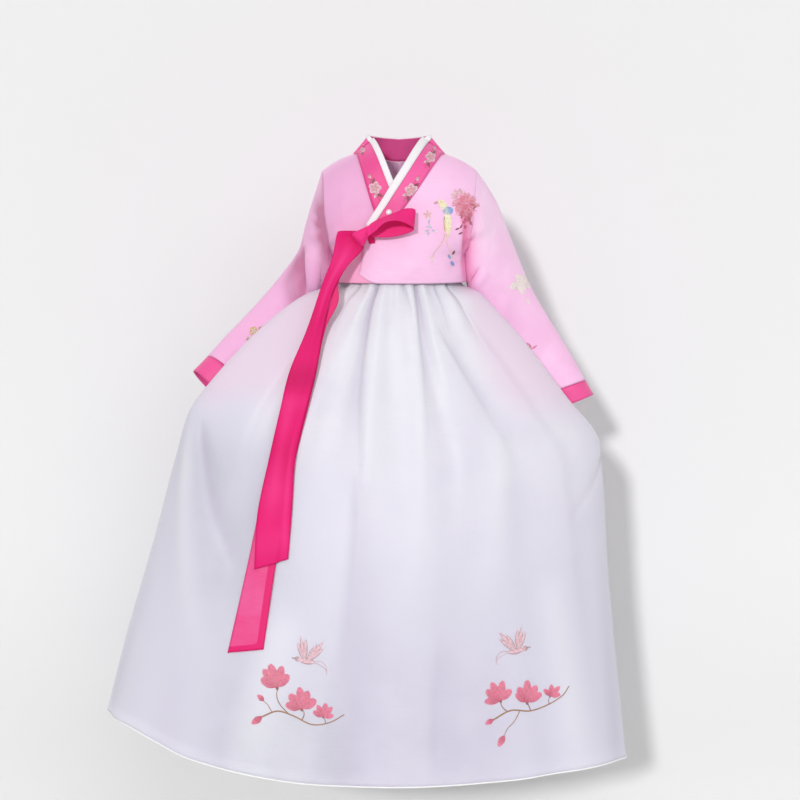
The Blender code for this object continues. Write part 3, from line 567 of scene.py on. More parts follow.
def degrees_from(angles, place):
    """How many degrees angles lie past a place, from -180 to 180."""
    return (np.degrees(angles) - place + 180) % 360 - 180


def collar_form(side, along, share):
    """The collar's form, unlifted, at places along it and shares of the way across it."""
    lapel = OUTER_LAPEL if side > 0 else INNER_LAPEL
    turn, x = sewn_line(side, along)
    sewn = on_trunk(turn, x, 0 * x)
    keys = np.concatenate([FREE_ROUND_NECK.along, lapel.along])
    on_front = on_trunk(front_turn(lapel.free_x, lapel.free_z), lapel.free_x, np.zeros(4))
    round_neck = np.stack([FREE_ROUND_NECK.x, FREE_ROUND_NECK.y, FREE_ROUND_NECK.z], axis=1)
    free = np.vstack([round_neck, on_front])
    free = np.stack([curve(keys, free[:, k], along) for k in range(3)], axis=-1)
    standing = between(sewn, free, share[..., None])
    x_here, z_here = standing[..., 0], standing[..., 2]
    lying = on_trunk(front_turn(x_here, z_here), x_here, 0 * x_here)
    flat = ease(0.34, 0.50, along) * ease(0.0, 0.2, share)
    if side < 0:
        back = underlap(-x_here, z_here) * ease(0.34, 0.45, along)
        lying = on_trunk(front_turn(x_here, z_here), x_here, -back)
        standing = standing + (0, 1, 0) * back[..., None]
    return between(standing, lying, flat[..., None])


def collar_half(side, alongs, shares, lift):
    """Half of the collar from the middle of the back neck to its lapel's end, lifted."""
    along, share = np.meshgrid(alongs, shares, indexing="ij")
    narrow = 0.2 + 0.8 * ease(0.29, 0.42, along)
    narrow *= 1 + (0.22 if side > 0 else -0.08) * ease(0.3, 0.5, along)
    pink = 1 - STRIP_SHARE
    seam = 1 - STRIP_SHARE * narrow
    share = np.where(share < pink, share * seam / pink, 1 + (share - 1) * narrow)
    step = 0.004
    by_along = collar_form(side, along + step, share) - collar_form(side, along - step, share)
    by_share = collar_form(side, along, share + step) - collar_form(side, along, share - step)
    out = unit(np.cross(by_share, by_along))
    form = collar_form(side, along, share)
    out *= np.sign((out * (form - (0, 0, -0.09))).sum(axis=-1, keepdims=True))
    return (form + out * lift) * (side, 1, 1)


def round_collar(alongs, shares, lift):
    """The whole collar in one, from the inner lapel's end round the neck to the outer lapel's."""
    inner, outer = (collar_half(side, alongs, shares, lift) for side in (-1, 1))
    return np.concatenate([inner[::-1], outer[1:]])


def ribbon(form, alongs, shares, axes="xyz"):
    """A ribbon's grid between its two edges."""
    one, other = [np.stack([curve(form.along, getattr(form, f"{edge}_{k}"), alongs) for k in axes], axis=1)
                  for edge in ("over", "under")]
    return np.stack([between(one, other, share) for share in shares], axis=1)


def hanging(form, alongs, shares, surfaces, lift, start_y):
    """A ribbon's grid that hangs in front of the surfaces it passes, lifted off them."""
    flat = ribbon(form, alongs, shares, "xz")
    depth = np.full(flat.shape[:2], FREE_DEPTH)
    for i in range(flat.shape[0]):
        for j in range(flat.shape[1]):
            for surface in surfaces:
                hit = seen_on(surface, *flat[i, j])[0]
                if hit is not None:
                    depth[i, j] = min(depth[i, j], hit.y - lift)
    depth = between(start_y, depth, ease(0, 0.07, alongs)[:, None])
    for j in range(flat.shape[1]):
        down, touched = lengths(flat[:, [j]], 0)[:, 0], depth[:, j].copy()
        for i in range(len(down) - 2):
            for k in range(i + 2, len(down)):
                share = (down[i + 1:k] - down[i]) / (down[k] - down[i])
                chord = between(touched[i], touched[k], share)
                depth[i + 1:k, j] = np.minimum(depth[i + 1:k, j], chord)
    return np.stack([flat[:, :, 0], depth, flat[:, :, 1]], axis=-1)


def surface_of(grid, closed):
    """A surface that rays can meet."""
    points = grid.reshape(-1, 3).tolist()
    return mathutils.bvhtree.BVHTree.FromPolygons(points, faces_of(grid, closed))


def seen_on(surface, x, z):
    """The place and the normal where a surface is met from the front."""
    return surface.ray_cast(mathutils.Vector((x, -1, z)), mathutils.Vector((0, 1, 0)))[:2]


def facing_out(grid, closed, centre):
    """The grid turned round, if need be, so that its faces point away from a centre."""
    found = normals(grid, closed)
    away = ((grid - np.asarray(centre)) * found).sum()
    return grid if away > 0 else grid[:, ::-1]


def turned_out(rings):
    """Closed rings turned round, if need be, so that their faces point away from their middles."""
    away = rings - rings.mean(axis=1, keepdims=True)
    return rings if (away * normals(rings, True)).sum() > 0 else rings[:, ::-1]


def trunk_ring(z, inset, count):
    """A ring round the trunk at one height, inside its form."""
    up = spline(TRUNK.z[:-1], TRUNK.up[:-1], z)
    width = min(float(spline(TRUNK.up, TRUNK.half_width, up)), TRUNK.half_width[0]) - inset
    angle = angles_round(count)
    c, s = np.cos(angle), np.sin(angle)
    power = 2 / ROUNDNESS
    front, back = (float(spline(TRUNK.up, d, up)) - inset for d in (TRUNK.front, TRUNK.back))
    y = np.where(s < 0, front, back) * np.sign(s) * np.abs(s) ** power
    return np.stack([np.sign(c) * width * np.abs(c) ** power, y, 0 * s + z], axis=1)


TRUNK_MIDDLE = (0, 0, -0.09)


# Finer than the frame: creases, soft folds, painted fold shade and places for trim.

# Soft creases as seen from the front or from behind (face -1 or 1), from one place to another,
# with their width and height. A negative height is a trough.
JACKET_CREASES = columns("face x z to_x to_z width height", """
    -1 -.104  -.13 -.085   -.1 .006  .0024
    -1 -.108 -.108 -.072 -.062 .009  .0021
    -1   -.1 -.148  -.06 -.156 .007 -.0015
    -1  .103  -.13  .086 -.093 .007  .0027
    -1  .106 -.112  .076 -.056  .01  .0021
    -1  .099 -.152   .07 -.166 .008 -.0018
    -1  .089 -.095 .0925 -.184 .005  .0018
    -1  .097 -.095    .1 -.184 .005 -.0036
    -1   .02  -.15  .012  -.18 .012  .0018
    -1  -.03 -.142 -.018 -.176 .013 -.0015
     1 -.103  -.13 -.078  -.09 .008   .003
     1   -.1 -.115  -.06  -.05 .011  .0021
     1  .103 -.132   .08 -.088 .008   .003
     1  .101 -.112  .064 -.048 .011  .0021
     1 -.045   -.1 -.056 -.174 .014  .0024
     1   .05 -.095  .058 -.175 .014  .0021
     1  -.09  -.15  -.05 -.162 .009 -.0018
""")
RIGHT_SLEEVE_CREASES = columns("face x z to_x to_z width height", """
    -1 -.134  -.08 -.115 -.095 .0035  -.004
    -1 -.133 -.087 -.115 -.102 .0042  .0036
    -1 -.138 -.108 -.112 -.125  .007  .0032
    -1 -.144 -.129 -.143  -.21  .005 -.0058
    -1 -.134 -.125 -.129 -.215  .009  .0072
    -1 -.121  -.15 -.115  -.21  .005 -.0047
    -1 -.162 -.166 -.148 -.232  .008  .0047
    -1 -.185 -.208 -.162 -.264  .007 -.0032
    -1  -.24 -.262 -.208 -.308  .008  .0029
     1 -.136   -.1  -.11  -.13  .007  .0047
     1  -.15  -.14 -.123 -.185  .007  .0061
     1 -.144  -.13 -.118 -.158  .005 -.0047
     1 -.175 -.185  -.14  -.24  .007 -.0043
     1 -.215  -.23 -.185 -.285  .009  .0036
""")
LEFT_SLEEVE_CREASES = columns("face x z to_x to_z width height", """
    -1  .09 -.1205 .118 -.1195 .0035 -.0024
    -1 .095  -.112 .126   -.11  .006  .0024
    -1 .108  -.186 .123   -.16  .004  -.003
    -1 .113  -.195 .133  -.164  .006  .0027
    -1 .118   -.06 .129  -.118  .011   .003
    -1 .162    -.2 .148   -.27  .012   .003
    -1  .23   -.27 .205   -.32  .009 -.0021
     1 .102  -.125 .135  -.105  .006  .0039
     1 .108   -.18 .148   -.15  .007  .0045
     1  .12  -.215  .16  -.185  .006 -.0033
     1  .19   -.23 .165   -.29   .01  .0033
     1 .245   -.29  .22  -.345  .009 -.0024
""")

# Painted shade where the cloth lies deep in a fold: along the armholes, at the elbows and under the arms,
# with how dark it is painted. A fold is sharp on its right at 1, on its left at -1, and soft on both sides at
# 0.
FOLD_SHADE_LINES = columns("face x z to_x to_z width depth sharp", """
    -1  -.114  -.023 -.1113 -.0866 .0075 .85  1
    -1 -.1113 -.0866    -.1 -.1455   .01 .95  1
    -1 -.1282 -.0525  -.115 -.0966  .006 .75  0
    -1  -.126   -.05  -.119  -.115  .007 .35  0
    -1  -.113  -.115  -.112    -.2  .007 .55  0
    -1  -.144  -.134 -.1432  -.214  .017   1  1
    -1   -.15  -.143  -.165  -.178  .009 .45  0
    -1  -.172   -.19   -.16  -.232  .008  .3  0
    -1   .093  -.088  .0985  -.187  .014   1 -1
    -1  .0935 -.1205   .112 -.1195 .0022  .3  0
    -1   .108  -.188   .118  -.164 .0035 .35  1
     1   -.11   -.06  -.104   -.15  .005  .6  0
     1    .11   -.06   .104   -.15  .005  .6  0
     1  -.148  -.135  -.142  -.215  .006 .45  0
     1    .17   -.18    .15  -.245  .007 .35  0
""")

# Soft swells of the worn cloth by their middle, reach and height: over the shoulders, and under
# the arms where a sleeve presses on the side seam.
SHOULDER_SWELLS = columns("x y z reach height", """
       .1 0 -.008 .033  .004
    -.096 0 -.006  .03 .0032
""")
UNDERARM_SWELLS = columns("x y z reach height", """
     .105 -.043  -.14 .026 .002
     .105  -.04  -.17 .034 .007
     .104   .02 -.164  .03 .004
    -.104  -.03 -.164  .03 .005
    -.104   .02 -.164  .03 .004
""")

# The skirt's gathers and soft folds, each from one place down to another. Angles are in degrees
# round the skirt from its left side by way of the back, so the front is at 270.
# A lean of 1 makes a fold sharp on its right and soft on its left, and -1 the other way round.
SKIRT_CREASES = columns("down angle to_down to_angle width to_width height to_height lean", """
     .06 250.6 .42   259 2.6   5 -.0056 -.0036  1
     .06   244  .3 250.5   3 4.4  .0044  .0018  0
     .06 256.5  .5   266 3.2 5.6  .0042  .0026  0
     .06 273.8 .19   280 2.4 3.2 -.0044  -.001  1
     .06   268 .33   271   3 4.4  .0034  .0018  0
     .06 279.6  .3   281 2.6   4  .0039  .0013  0
     .06 284.6 .42 279.6 3.2 5.4  -.006 -.0024 -1
     .06 291.5 .36   288 3.2 4.6  .0042  .0018  0
     .06   304  .2   301 2.6 3.8 -.0031 -.0008 -1
     .06 320.5 .24   316 2.6 3.4  -.005 -.0012  1
     .06   313 .26   309 3.4 4.6  .0034  .0016  0
     .06   232  .2   236   3   4 -.0036  -.001  1
     .06   220 .24   226 3.2 4.2  .0034  .0013  0
    .178 293.5 .42   305   3   5  -.003 -.0012 -1
     .25 278.5 .64 276.5 3.4 4.6  .0036  .0018  0
     .34 303.5 .64   296 3.6 4.6  .0039  .0018  0
     .38   289 .54   287 2.2 2.6  .0023   .001  0
     .42 259.4  .8   263 4.6   7 -.0034 -.0022 -1
     .42   197 .64   231 6.5   8  -.005 -.0026 -1
     .43   190 .76   222 4.4   6  .0047  .0026  0
     .44   375 .56 326.5   5   6 -.0036 -.0013  1
     .62   316 .96   322   5 6.5  .0034  .0029  0
     .66   246 .98   244   5 6.5  .0031  .0026  0
      .7   284 .99 286.5   5   7 -.0022 -.0022 -1
     .06   100 .38    98 2.8 4.2 -.0057 -.0026  0
     .06    82 .34    80 2.8 4.2 -.0052 -.0023  0
     .06    64  .3    60 2.8 4.2 -.0047 -.0018  0
     .06   118 .34   122 2.8 4.2 -.0049 -.0021  0
     .06    91 .42    90 3.2 4.8  .0044  .0021  0
     .06   109 .36   111 3.2 4.8  .0039  .0018  0
     .06    73 .36    70 3.2 4.8  .0039  .0018  0
     .44    30  .7    52   4   5 -.0047 -.0021  0
     .44   150  .7   128   4   5 -.0047 -.0021  0
     .56    96 .98    94   5 6.5  .0044  .0034  0
      .6    66 .98    62   5 6.5  .0039  .0031  0
      .6   124 .98   128   5 6.5  .0039  .0031  0
""")
HEM_RIPPLES = columns("waves phase height", """
     9  .4 .0012
    14 2.1 .0009
    23   4 .0005
""")

# Folds that run down a hanging end from the knot: shares across and along it.
FRONT_TAIL_FOLDS = columns("across to_across along to_along width height", """
    .46 .26   0 .07 .13 -.0012
    .62  .5 .02  .3 .16   .001
     .8 .84  .5   1 .07  .0009
     .3  .4  .4  .9 .24  .0008
""")
BACK_TAIL_FOLDS = columns("across to_across along to_along width height", """
     .4 .3   0 .4 .14 .0008
    .35 .5 .55  1  .2 .0006
""")
# Painted shade in bands across the front hanging end: places along it, how far each reaches and how
# dark its painted shade is. A negative one is a painted highlight.
FRONT_TAIL_SHADE_BANDS = columns("along reach dark", """
       0 .03  .45
      .1 .03 -.25
     .26 .06   .3
      .4 .04  .45
    .475 .03  -.2
     .62 .06  .25
     .76 .05 -.15
     .92 .06  -.3
""")

# The knot's face by its corners, as seen from the front, and how the wrap creases it.
KNOT_CORNERS = columns("x z", """
    -.0712 -.1105
    -.0415 -.0975
    -.0445  -.115
     -.053  -.131
""")
KNOT_CREASES = columns("face x z to_x to_z width height", """
    -1  -.07 -.115 -.054 -.129 .0016 -.0018
    -1 -.066 -.108  -.05 -.122  .004  .0014
    -1 -.044 -.098  -.05 -.124 .0022 -.0016
    -1 -.056 -.102 -.053 -.118  .003 -.0008
""")


def tapered(t):
    """A height's share along a crease: none at its two ends, full over its middle."""
    return ease(0.0, 0.3, t) * ease(1.0, 0.7, t)


def along_lines(points, out, table, values, fading=tapered):
    """The sum, at each point, of what lies along a table's lines on the side that each shows on."""
    total = np.zeros(points.shape[:2])
    flat = points[..., [0, 2]]
    for k, value in zip(each(table), values):
        start = np.array([k.x, k.z])
        way = np.array([k.to_x, k.to_z]) - start
        along = np.clip(((flat - start) @ way) / (way @ way), 0, 1)
        apart = flat - start - along[..., None] * way
        away = np.linalg.norm(apart, axis=-1)
        if hasattr(k, "sharp"):
            away = away / np.where(apart[..., 0] * k.sharp > 0, 0.2, 1.0)
        shown = ease(0.1, 0.6, out[..., 1] * k.face)
        total += value * np.exp(-((away / k.width) ** 2)) * fading(along) * shown
    return total


def creased(points, out, table):
    """The grid with creases pressed into the side that each one shows on."""
    return points + out * along_lines(points, out, table, table.height)[..., None]


def painted_fold_shade(points, out):
    """How much painted shade each point takes for lying deep in a fold, from 0 on the open cloth to 1."""
    return np.clip(along_lines(points, out, FOLD_SHADE_LINES, FOLD_SHADE_LINES.depth, np.ones_like), 0, 1)


def swollen(points, out, table, share=1.0):
    """The grid with soft swells, or with a share of them."""
    total = np.zeros(points.shape[:2])
    for k in each(table):
        away = np.linalg.norm(points - (k.x, k.y, k.z), axis=-1)
        total += k.height * np.exp(-((away / k.reach) ** 2))
    return points + out * (total * share)[..., None]


def skirt_creases(down, angles):
    """How far the gathers and soft folds stand out at one share of the way down."""
    total = np.zeros(len(angles))
    for k in each(SKIRT_CREASES):
        share = (down - k.down) / (k.to_down - k.down)
        held = np.clip(share, 0, 1)
        height = between(k.height, k.to_height, held)
        start = 1.0 if k.down < 0.1 else float(ease(0.0, 0.25, share))
        height *= start * float(ease(1.35, 0.75, share)) * float(ease(0.03, 0.10, down))
        away = degrees_from(angles, between(k.angle, k.to_angle, held))
        width = np.where(away * k.lean > 0, 0.28, 1.0) * between(k.width, k.to_width, held)
        total += height * np.exp(-((away / width) ** 2))
    for k in each(HEM_RIPPLES):
        total += k.height * float(ease(0.55, 1.0, down)) * np.sin(k.waves * angles + k.phase)
    return total


def lengths(grid, axis):
    """The way along a grid's rows or columns from its first edge to each point."""
    steps = np.linalg.norm(np.diff(grid, axis=axis), axis=2)
    first = np.zeros_like(np.take(steps, [0], axis=axis))
    return np.concatenate([first, np.cumsum(steps, axis=axis)], axis=axis)


def shut(grid, closed):
    """The grid with its first column again at its end, where it is closed."""
    return np.concatenate([grid, grid[:, :1]], axis=1) if closed else grid


def quads(grid, closed):
    """The four corners of every face of a grid, as rows and columns."""
    rows, count = grid.shape[:2]
    i, j = np.meshgrid(np.arange(rows - 1), np.arange(count if closed else count - 1), indexing="ij")
    return [(i, j), (i, j + 1), (i + 1, j + 1), (i + 1, j)]


def faces_of(grid, closed):
    """Every face of a grid by the numbers of its points."""
    count = grid.shape[1]
    return np.stack([a * count + b % count for a, b in quads(grid, closed)], axis=-1).reshape(-1, 4).tolist()


def mesh_on(name, grid, closed):
    """A new mesh on a grid."""
    mesh = bpy.data.meshes.new(name)
    mesh.from_pydata(grid.reshape(-1, 3).tolist(), [], faces_of(grid, closed))
    return mesh


def put(name, data, material=None):
    """A new object in the scene, in a material if one is given."""
    obj = bpy.data.objects.new(name, data)
    bpy.context.scene.collection.objects.link(obj)
    if material is not None:
        data.materials.append(material)
    return obj


def marked(mesh, name, values, kind="FLOAT", key="value"):
    """Gives each point of a mesh a number or a colour."""
    found = mesh.attributes.new(name, kind, "POINT")
    found.data.foreach_set(key, np.asarray(values, np.float32).reshape(-1))


GRIDS = {}  # the finished outer faces, for what lies on them
END_HEM = 0.0020  # how much narrower a hanging end's bottom hem is than its side one


def cloth(name, grid, thickness, closed=False, towards=-1, edges=False, folds=None):
    """A thin shell on a grid, with the map in metres that its weave follows."""
    whole, mesh = shut(grid, closed), mesh_on(name, grid, closed)
    u, v = lengths(whole, 1), lengths(whole, 0)
    corners = quads(grid, closed)
    places = np.stack([np.stack([u[a, b], v[a, b]], axis=-1) for a, b in corners], axis=2)
    layer = mesh.uv_layers.new(name="cloth")
    layer.data.foreach_set("uv", places.reshape(-1).astype(np.float32))
    if edges:
        rightmost = grid[0, 0, 0] > grid[0, -1, 0]
        near = lengths(grid, 1) if rightmost else lengths(grid[:, ::-1], 1)[:, ::-1]
        marked(mesh, "edge", np.minimum(near, lengths(grid[::-1], 0)[::-1] + END_HEM))
    # Fold marks tell the material where to paint shade, and a highlight where they are below 0.
    if folds is not None:
        marked(mesh, "fold", folds)
    mesh.shade_smooth()
    obj = put(name, mesh)
    shell = obj.modifiers.new("shell", "SOLIDIFY")
    shell.thickness = thickness
    shell.offset = towards
    GRIDS[name] = (grid, closed)
    return obj


def sewn_in(obj, node, material):
    """Hands a sheet of cloth to the frame in place of its plain solid; its size laid flat is worked out but
    not used.
    """
    obj.data.materials.append(material)
    whole = shut(*GRIDS[obj.name])
    width, length = float(lengths(whole, 1)[:, -1].max()), float(lengths(whole, 0)[-1].max())
    one = np.cross(whole[1:, :-1] - whole[:-1, :-1], whole[:-1, 1:] - whole[:-1, :-1])
    two = np.cross(whole[1:, :-1] - whole[1:, 1:], whole[:-1, 1:] - whole[1:, 1:])
    area = (np.linalg.norm(one, axis=2) + np.linalg.norm(two, axis=2)).sum() / 2
    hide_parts(node)
    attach(obj, "root")
    area = float(min(area, width * length))


# Node trees.


def fed(tree, node, given):
    """A node with numbers, colours or links at its inputs."""
    for key, value in given.items():
        if isinstance(value, bpy.types.NodeSocket):
            tree.links.new(value, node.inputs[key])
        else:
            node.inputs[key].default_value = value
    return node


def output(tree, kind, given=None, out=0, **settings):
    """An output of a new node with these inputs and settings."""
    node = tree.nodes.new(kind)
    for key, value in settings.items():
        setattr(node, key, value)
    return fed(tree, node, given or {}).outputs[out]


def new_tree(name, **sizes):
    """A geometry tree with a mesh, named sizes and a material in, and a mesh out."""
    tree = bpy.data.node_groups.new(name, "GeometryNodeTree")
    tree.interface.new_socket("Geometry", in_out="OUTPUT", socket_type="NodeSocketGeometry")
    kinds = {"Geometry": "Geometry", **dict.fromkeys(sizes, "Float"), "Material": "Material"}
    for label, kind in kinds.items():
        socket = tree.interface.new_socket(label, in_out="INPUT", socket_type=f"NodeSocket{kind}")
        if label in sizes:
            socket.default_value = sizes[label]
    return tree, tree.nodes.new("NodeGroupInput").outputs


def close_tree(tree, start, shape):
    """Ends a tree: real geometry, its material, and out."""
    real = output(tree, "GeometryNodeRealizeInstances", {"Geometry": shape})
    smooth = output(tree, "GeometryNodeSetShadeSmooth", {"Geometry": real})
    given = {"Geometry": smooth, "Material": start["Material"]}
    painted = output(tree, "GeometryNodeSetMaterial", given)
    fed(tree, tree.nodes.new("NodeGroupOutput"), {"Geometry": painted})
    return tree


def thread_tree():
    """Lays a round thread along every line of a mesh."""
    tree, start = new_tree("Threads", Radius=0.0002)
    line = output(tree, "GeometryNodeMeshToCurve", {"Mesh": start["Geometry"]})
    given = {"Resolution": 5, "Radius": start["Radius"]}
    ring = output(tree, "GeometryNodeCurvePrimitiveCircle", given)
    given = {"Curve": line, "Profile Curve": ring, "Fill Caps": True}
    return close_tree(tree, start, output(tree, "GeometryNodeCurveToMesh", given))


def stitch_tree():
    """Sets a row of short running stitches along every line of a mesh."""
    tree, start = new_tree("Running stitches", Stitch=0.0022, Gap=0.0010, Radius=0.0002)
    stitch, thick = start["Stitch"], start["Radius"]
    line = output(tree, "GeometryNodeMeshToCurve", {"Mesh": start["Geometry"]})
    pitch = output(tree, "ShaderNodeMath", {0: stitch, 1: start["Gap"]}, operation="ADD")
    given = {"Curve": line, "Length": pitch}
    spaced = output(tree, "GeometryNodeResampleCurve", given, mode="LENGTH")
    tangent = output(tree, "GeometryNodeInputTangent")
    turn = output(tree, "FunctionNodeAlignRotationToVector", {"Vector": tangent}, axis="X")
    half = output(tree, "ShaderNodeMath", {0: stitch, 1: 0.5}, operation="MULTIPLY")
    size = output(tree, "ShaderNodeCombineXYZ", {"X": half, "Y": thick, "Z": thick})
    bead = output(tree, "GeometryNodeMeshUVSphere", {"Segments": 6, "Rings": 4, "Radius": 1.0})
    shaped = output(tree, "GeometryNodeTransform", {"Geometry": bead, "Scale": size})
    given = {"Points": spaced, "Instance": shaped, "Rotation": turn}
    return close_tree(tree, start, output(tree, "GeometryNodeInstanceOnPoints", given))


def sewn_with(tree, name, lines, material, colours=None, **sizes):
    """Runs a tree over lines of points and keeps the plain mesh that it makes."""
    points = [tuple(p) for line in lines for p in line]
    ends = set(np.cumsum([len(line) for line in lines]).tolist())
    links = [(k - 1, k) for k in range(1, len(points)) if k not in ends]
    mesh = bpy.data.meshes.new(name + "_lines")
    mesh.from_pydata(points, links, [])
    if colours:
        carried = [(*colour, 1.0) for line in colours for colour in line]
        marked(mesh, "thread", carried, "FLOAT_COLOR", "color")
    guide = put(name + "_lines", mesh)
    modifier = guide.modifiers.new("threads", "NODES")
    modifier.node_group = tree
    given = {**sizes, "material": material}
    for item in tree.interface.items_tree:
        if item.in_out == "INPUT" and item.name.lower() in given:
            modifier[item.identifier] = given[item.name.lower()]
    seen = guide.evaluated_get(bpy.context.evaluated_depsgraph_get())
    made = bpy.data.meshes.new_from_object(seen)
    made.name = name
    bpy.data.objects.remove(guide)
    bpy.data.meshes.remove(mesh)
    if not made.polygons:
        raise RuntimeError(f"{name} has no stitches")
    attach(put(name, made), "root")


def edge_line(name, side, inset, lift):
    """A line on a finished piece, a set way in from one of its edges."""
    grid, closed = GRIDS[name]
    out = normals(grid, closed)
    if "column" in side:
        grid, out = grid.transpose(1, 0, 2), out.transpose(1, 0, 2)
    if "last" in side:
        grid, out = grid[::-1], out[::-1]
    way, raised = lengths(grid, 0), grid + out * lift
    line = [[np.interp(inset, way[:, k], raised[:, k, axis]) for axis in range(3)]
            for k in range(grid.shape[1])]
    return line + line[:1] if closed and "row" in side else line


# Materials.


def linear(*screen):
    """A colour from its screen numbers, 0 to 255, as the renderer's own."""
    return tuple((k / 255 / 12.92 if k < 11 else ((k / 255 + 0.055) / 1.055) ** 2.4) for k in screen)


def mixed(one, other, share):
    """One colour with a share of another."""
    return tuple(a + (b - a) * share for a, b in zip(one, other))


def dimmed(colour, share):
    """A colour's darker tone."""
    return tuple(k * share for k in colour)


def blended(tree, share, one, other):
    """One colour turning into another by a share."""
    given = {"Factor": share}
    for key, value in ((6, one), (7, other)):
        given[key] = value if isinstance(value, bpy.types.NodeSocket) else (*value[:3], 1)
    return output(tree, "ShaderNodeMix", given, 2, data_type="RGBA")


def ranged(tree, value, low, high, to_low=0.0, to_high=1.0):
    """A value eased from one range into another."""
    given = {"Value": value, "From Min": low, "From Max": high, "To Min": to_low, "To Max": to_high}
    return output(tree, "ShaderNodeMapRange", given, interpolation_type="SMOOTHSTEP")


def times(tree, *values):
    """Several values multiplied."""
    found = values[0]
    for value in values[1:]:
        found = output(tree, "ShaderNodeMath", {0: found, 1: value}, operation="MULTIPLY")
    return found


def carried(tree, name, out="Fac"):
    """What a mesh carries under a name."""
    return output(tree, "ShaderNodeAttribute", None, out, attribute_name=name)


def noise(tree, places, scale, detail=2.0):
    """Soft unevenness."""
    given = {"Vector": places, "Scale": scale, "Detail": detail}
    return output(tree, "ShaderNodeTexNoise", given)


def waves(tree, places, scale, way):
    """Even ridges across one way."""
    given = {"Vector": places, "Scale": scale}
    return output(tree, "ShaderNodeTexWave", given, "Fac", bands_direction=way)


def bump(tree, strength, height):
    """Fine relief for a shader's normal."""
    given = {"Strength": strength, "Distance": 0.0001, "Height": height}
    return output(tree, "ShaderNodeBump", given)


def new_material(name):
    """A material with its tree, its shader and the object's own places."""
    material = bpy.data.materials.new(name)
    material.use_nodes = True
    tree = material.node_tree
    places = output(tree, "ShaderNodeTexCoord", None, "Object")
    return material, tree, tree.nodes["Principled BSDF"], places


def cloth_material(name, colour, shade, roughness, pitch=0.0005, relief=0.35, sheen=0.12, gloss=0.3,
                   alpha=None, areas=(), border=None, deep=None, tint=None, crest=None):
    """Woven cloth: threads both ways, uneven yarn and soft changes of colour.

    Each area is a colour and the easings along x, y and z that bound it, for painted shade and
    painted light. The deep colour is painted shade in the folds and the crest colour painted
    highlight between them, and the tint is what shows through where a sleeve lies behind.
    """
    material, tree, shader, places = new_material(name)
    cloth_map = output(tree, "ShaderNodeUVMap", uv_map="cloth")
    warp, weft = (waves(tree, cloth_map, math.tau / 20 / pitch, way) for way in "XY")
    woven = output(tree, "ShaderNodeMath", {0: warp, 1: weft}, operation="MAXIMUM")
    streaks = output(tree, "ShaderNodeMapping", {"Vector": cloth_map, "Scale": (30.0, 900.0, 1.0)})
    base = colour
    if areas:
        axes = output(tree, "ShaderNodeSeparateXYZ", {0: places}).node.outputs
        for other, bounds in areas:
            shares = [ranged(tree, axes[axis], low, high) for axis, low, high in bounds]
            base = blended(tree, times(tree, *shares), base, other)
    cloudy = ranged(tree, noise(tree, places, 14.0, 3.0), 0.35, 0.7, 0.0, 0.5)
    yarn = ranged(tree, noise(tree, streaks, 1.0), 0.4, 0.7, 0.0, 0.28)
    base = blended(tree, yarn, blended(tree, cloudy, base, shade), shade)
    if tint:
        base = blended(tree, carried(tree, "thin"), base, tint)
    # Painted highlight where the fold mark is below 0.
    if crest:
        base = blended(tree, times(tree, carried(tree, "fold"), -1.0), base, crest)
    # Painted shade where the fold mark is above 0.
    if deep:
        base = blended(tree, carried(tree, "fold"), base, deep)
    if border:
        inside = ranged(tree, carried(tree, "edge"), border[1], border[1] + 0.0016)
        base = blended(tree, inside, border[0], base)
    if alpha:
        fed(tree, shader, {"Alpha": ranged(tree, carried(tree, "thin"), 0.0, 1.0, *alpha)})
    fed(tree, shader, {
        "Base Color": base, "Normal": bump(tree, relief, woven), "Roughness": roughness,
        "Specular IOR Level": gloss, "Sheen Weight": sheen, "Sheen Roughness": 0.4,
    })
    return material


def thread_material(name):
    """Glossy thread whose colour is carried by the stitches themselves."""
    material, tree, shader, places = new_material(name)
    thread = carried(tree, "thread", "Color")
    darker = output(tree, "ShaderNodeHueSaturation", {"Value": 0.82, "Color": thread})
    share = ranged(tree, noise(tree, places, 420.0, 1.0), 0.4, 0.7)
    fed(tree, shader, {
        "Base Color": blended(tree, share, thread, darker), "Roughness": 0.42, "Sheen Weight": 0.25,
        "Normal": bump(tree, 0.3, waves(tree, places, 500.0, "DIAGONAL")),
    })
    return material


def plain_thread(name, colour, uneven_share=0.82):
    """Sewing thread of one colour, a little uneven."""
    material, tree, shader, places = new_material(name)
    share = ranged(tree, noise(tree, places, 260.0), 0.35, 0.7)
    base = blended(tree, share, colour, dimmed(colour, uneven_share))
    fed(tree, shader, {"Base Color": base, "Roughness": 0.5})
    return material


def pearl_material(name, colour):
    """A smooth glazed cap."""
    material, tree, shader, places = new_material(name)
    base = blended(tree, noise(tree, places, 300.0), colour, dimmed(colour, 0.9))
    fed(tree, shader, {"Base Color": base, "Roughness": 0.22, "Coat Weight": 0.5})
    return material


# Embroidery: threads laid side by side, each by its places seen from the front and its colours.

THREAD_PITCH = 0.00040  # from one thread of a petal to the next
TWIG_PITCH = 0.00036  # and of a twig
EDGE_DROP = 0.012  # where the faces fall away further than this, a thread ends


def rows_of(text):
    """The numbers of each line of a text, and the words after them."""
    for line in text.strip().splitlines():
        words = line.split()
        numbers = [float(word) for word in words if word[-1].isdigit()]
        yield numbers, " ".join(words[len(numbers):])


def way_of(angle):
    """One step ahead and one aside at an angle."""
    ahead = np.array([math.cos(angle), math.sin(angle)])
    return ahead, np.array([-ahead[1], ahead[0]])


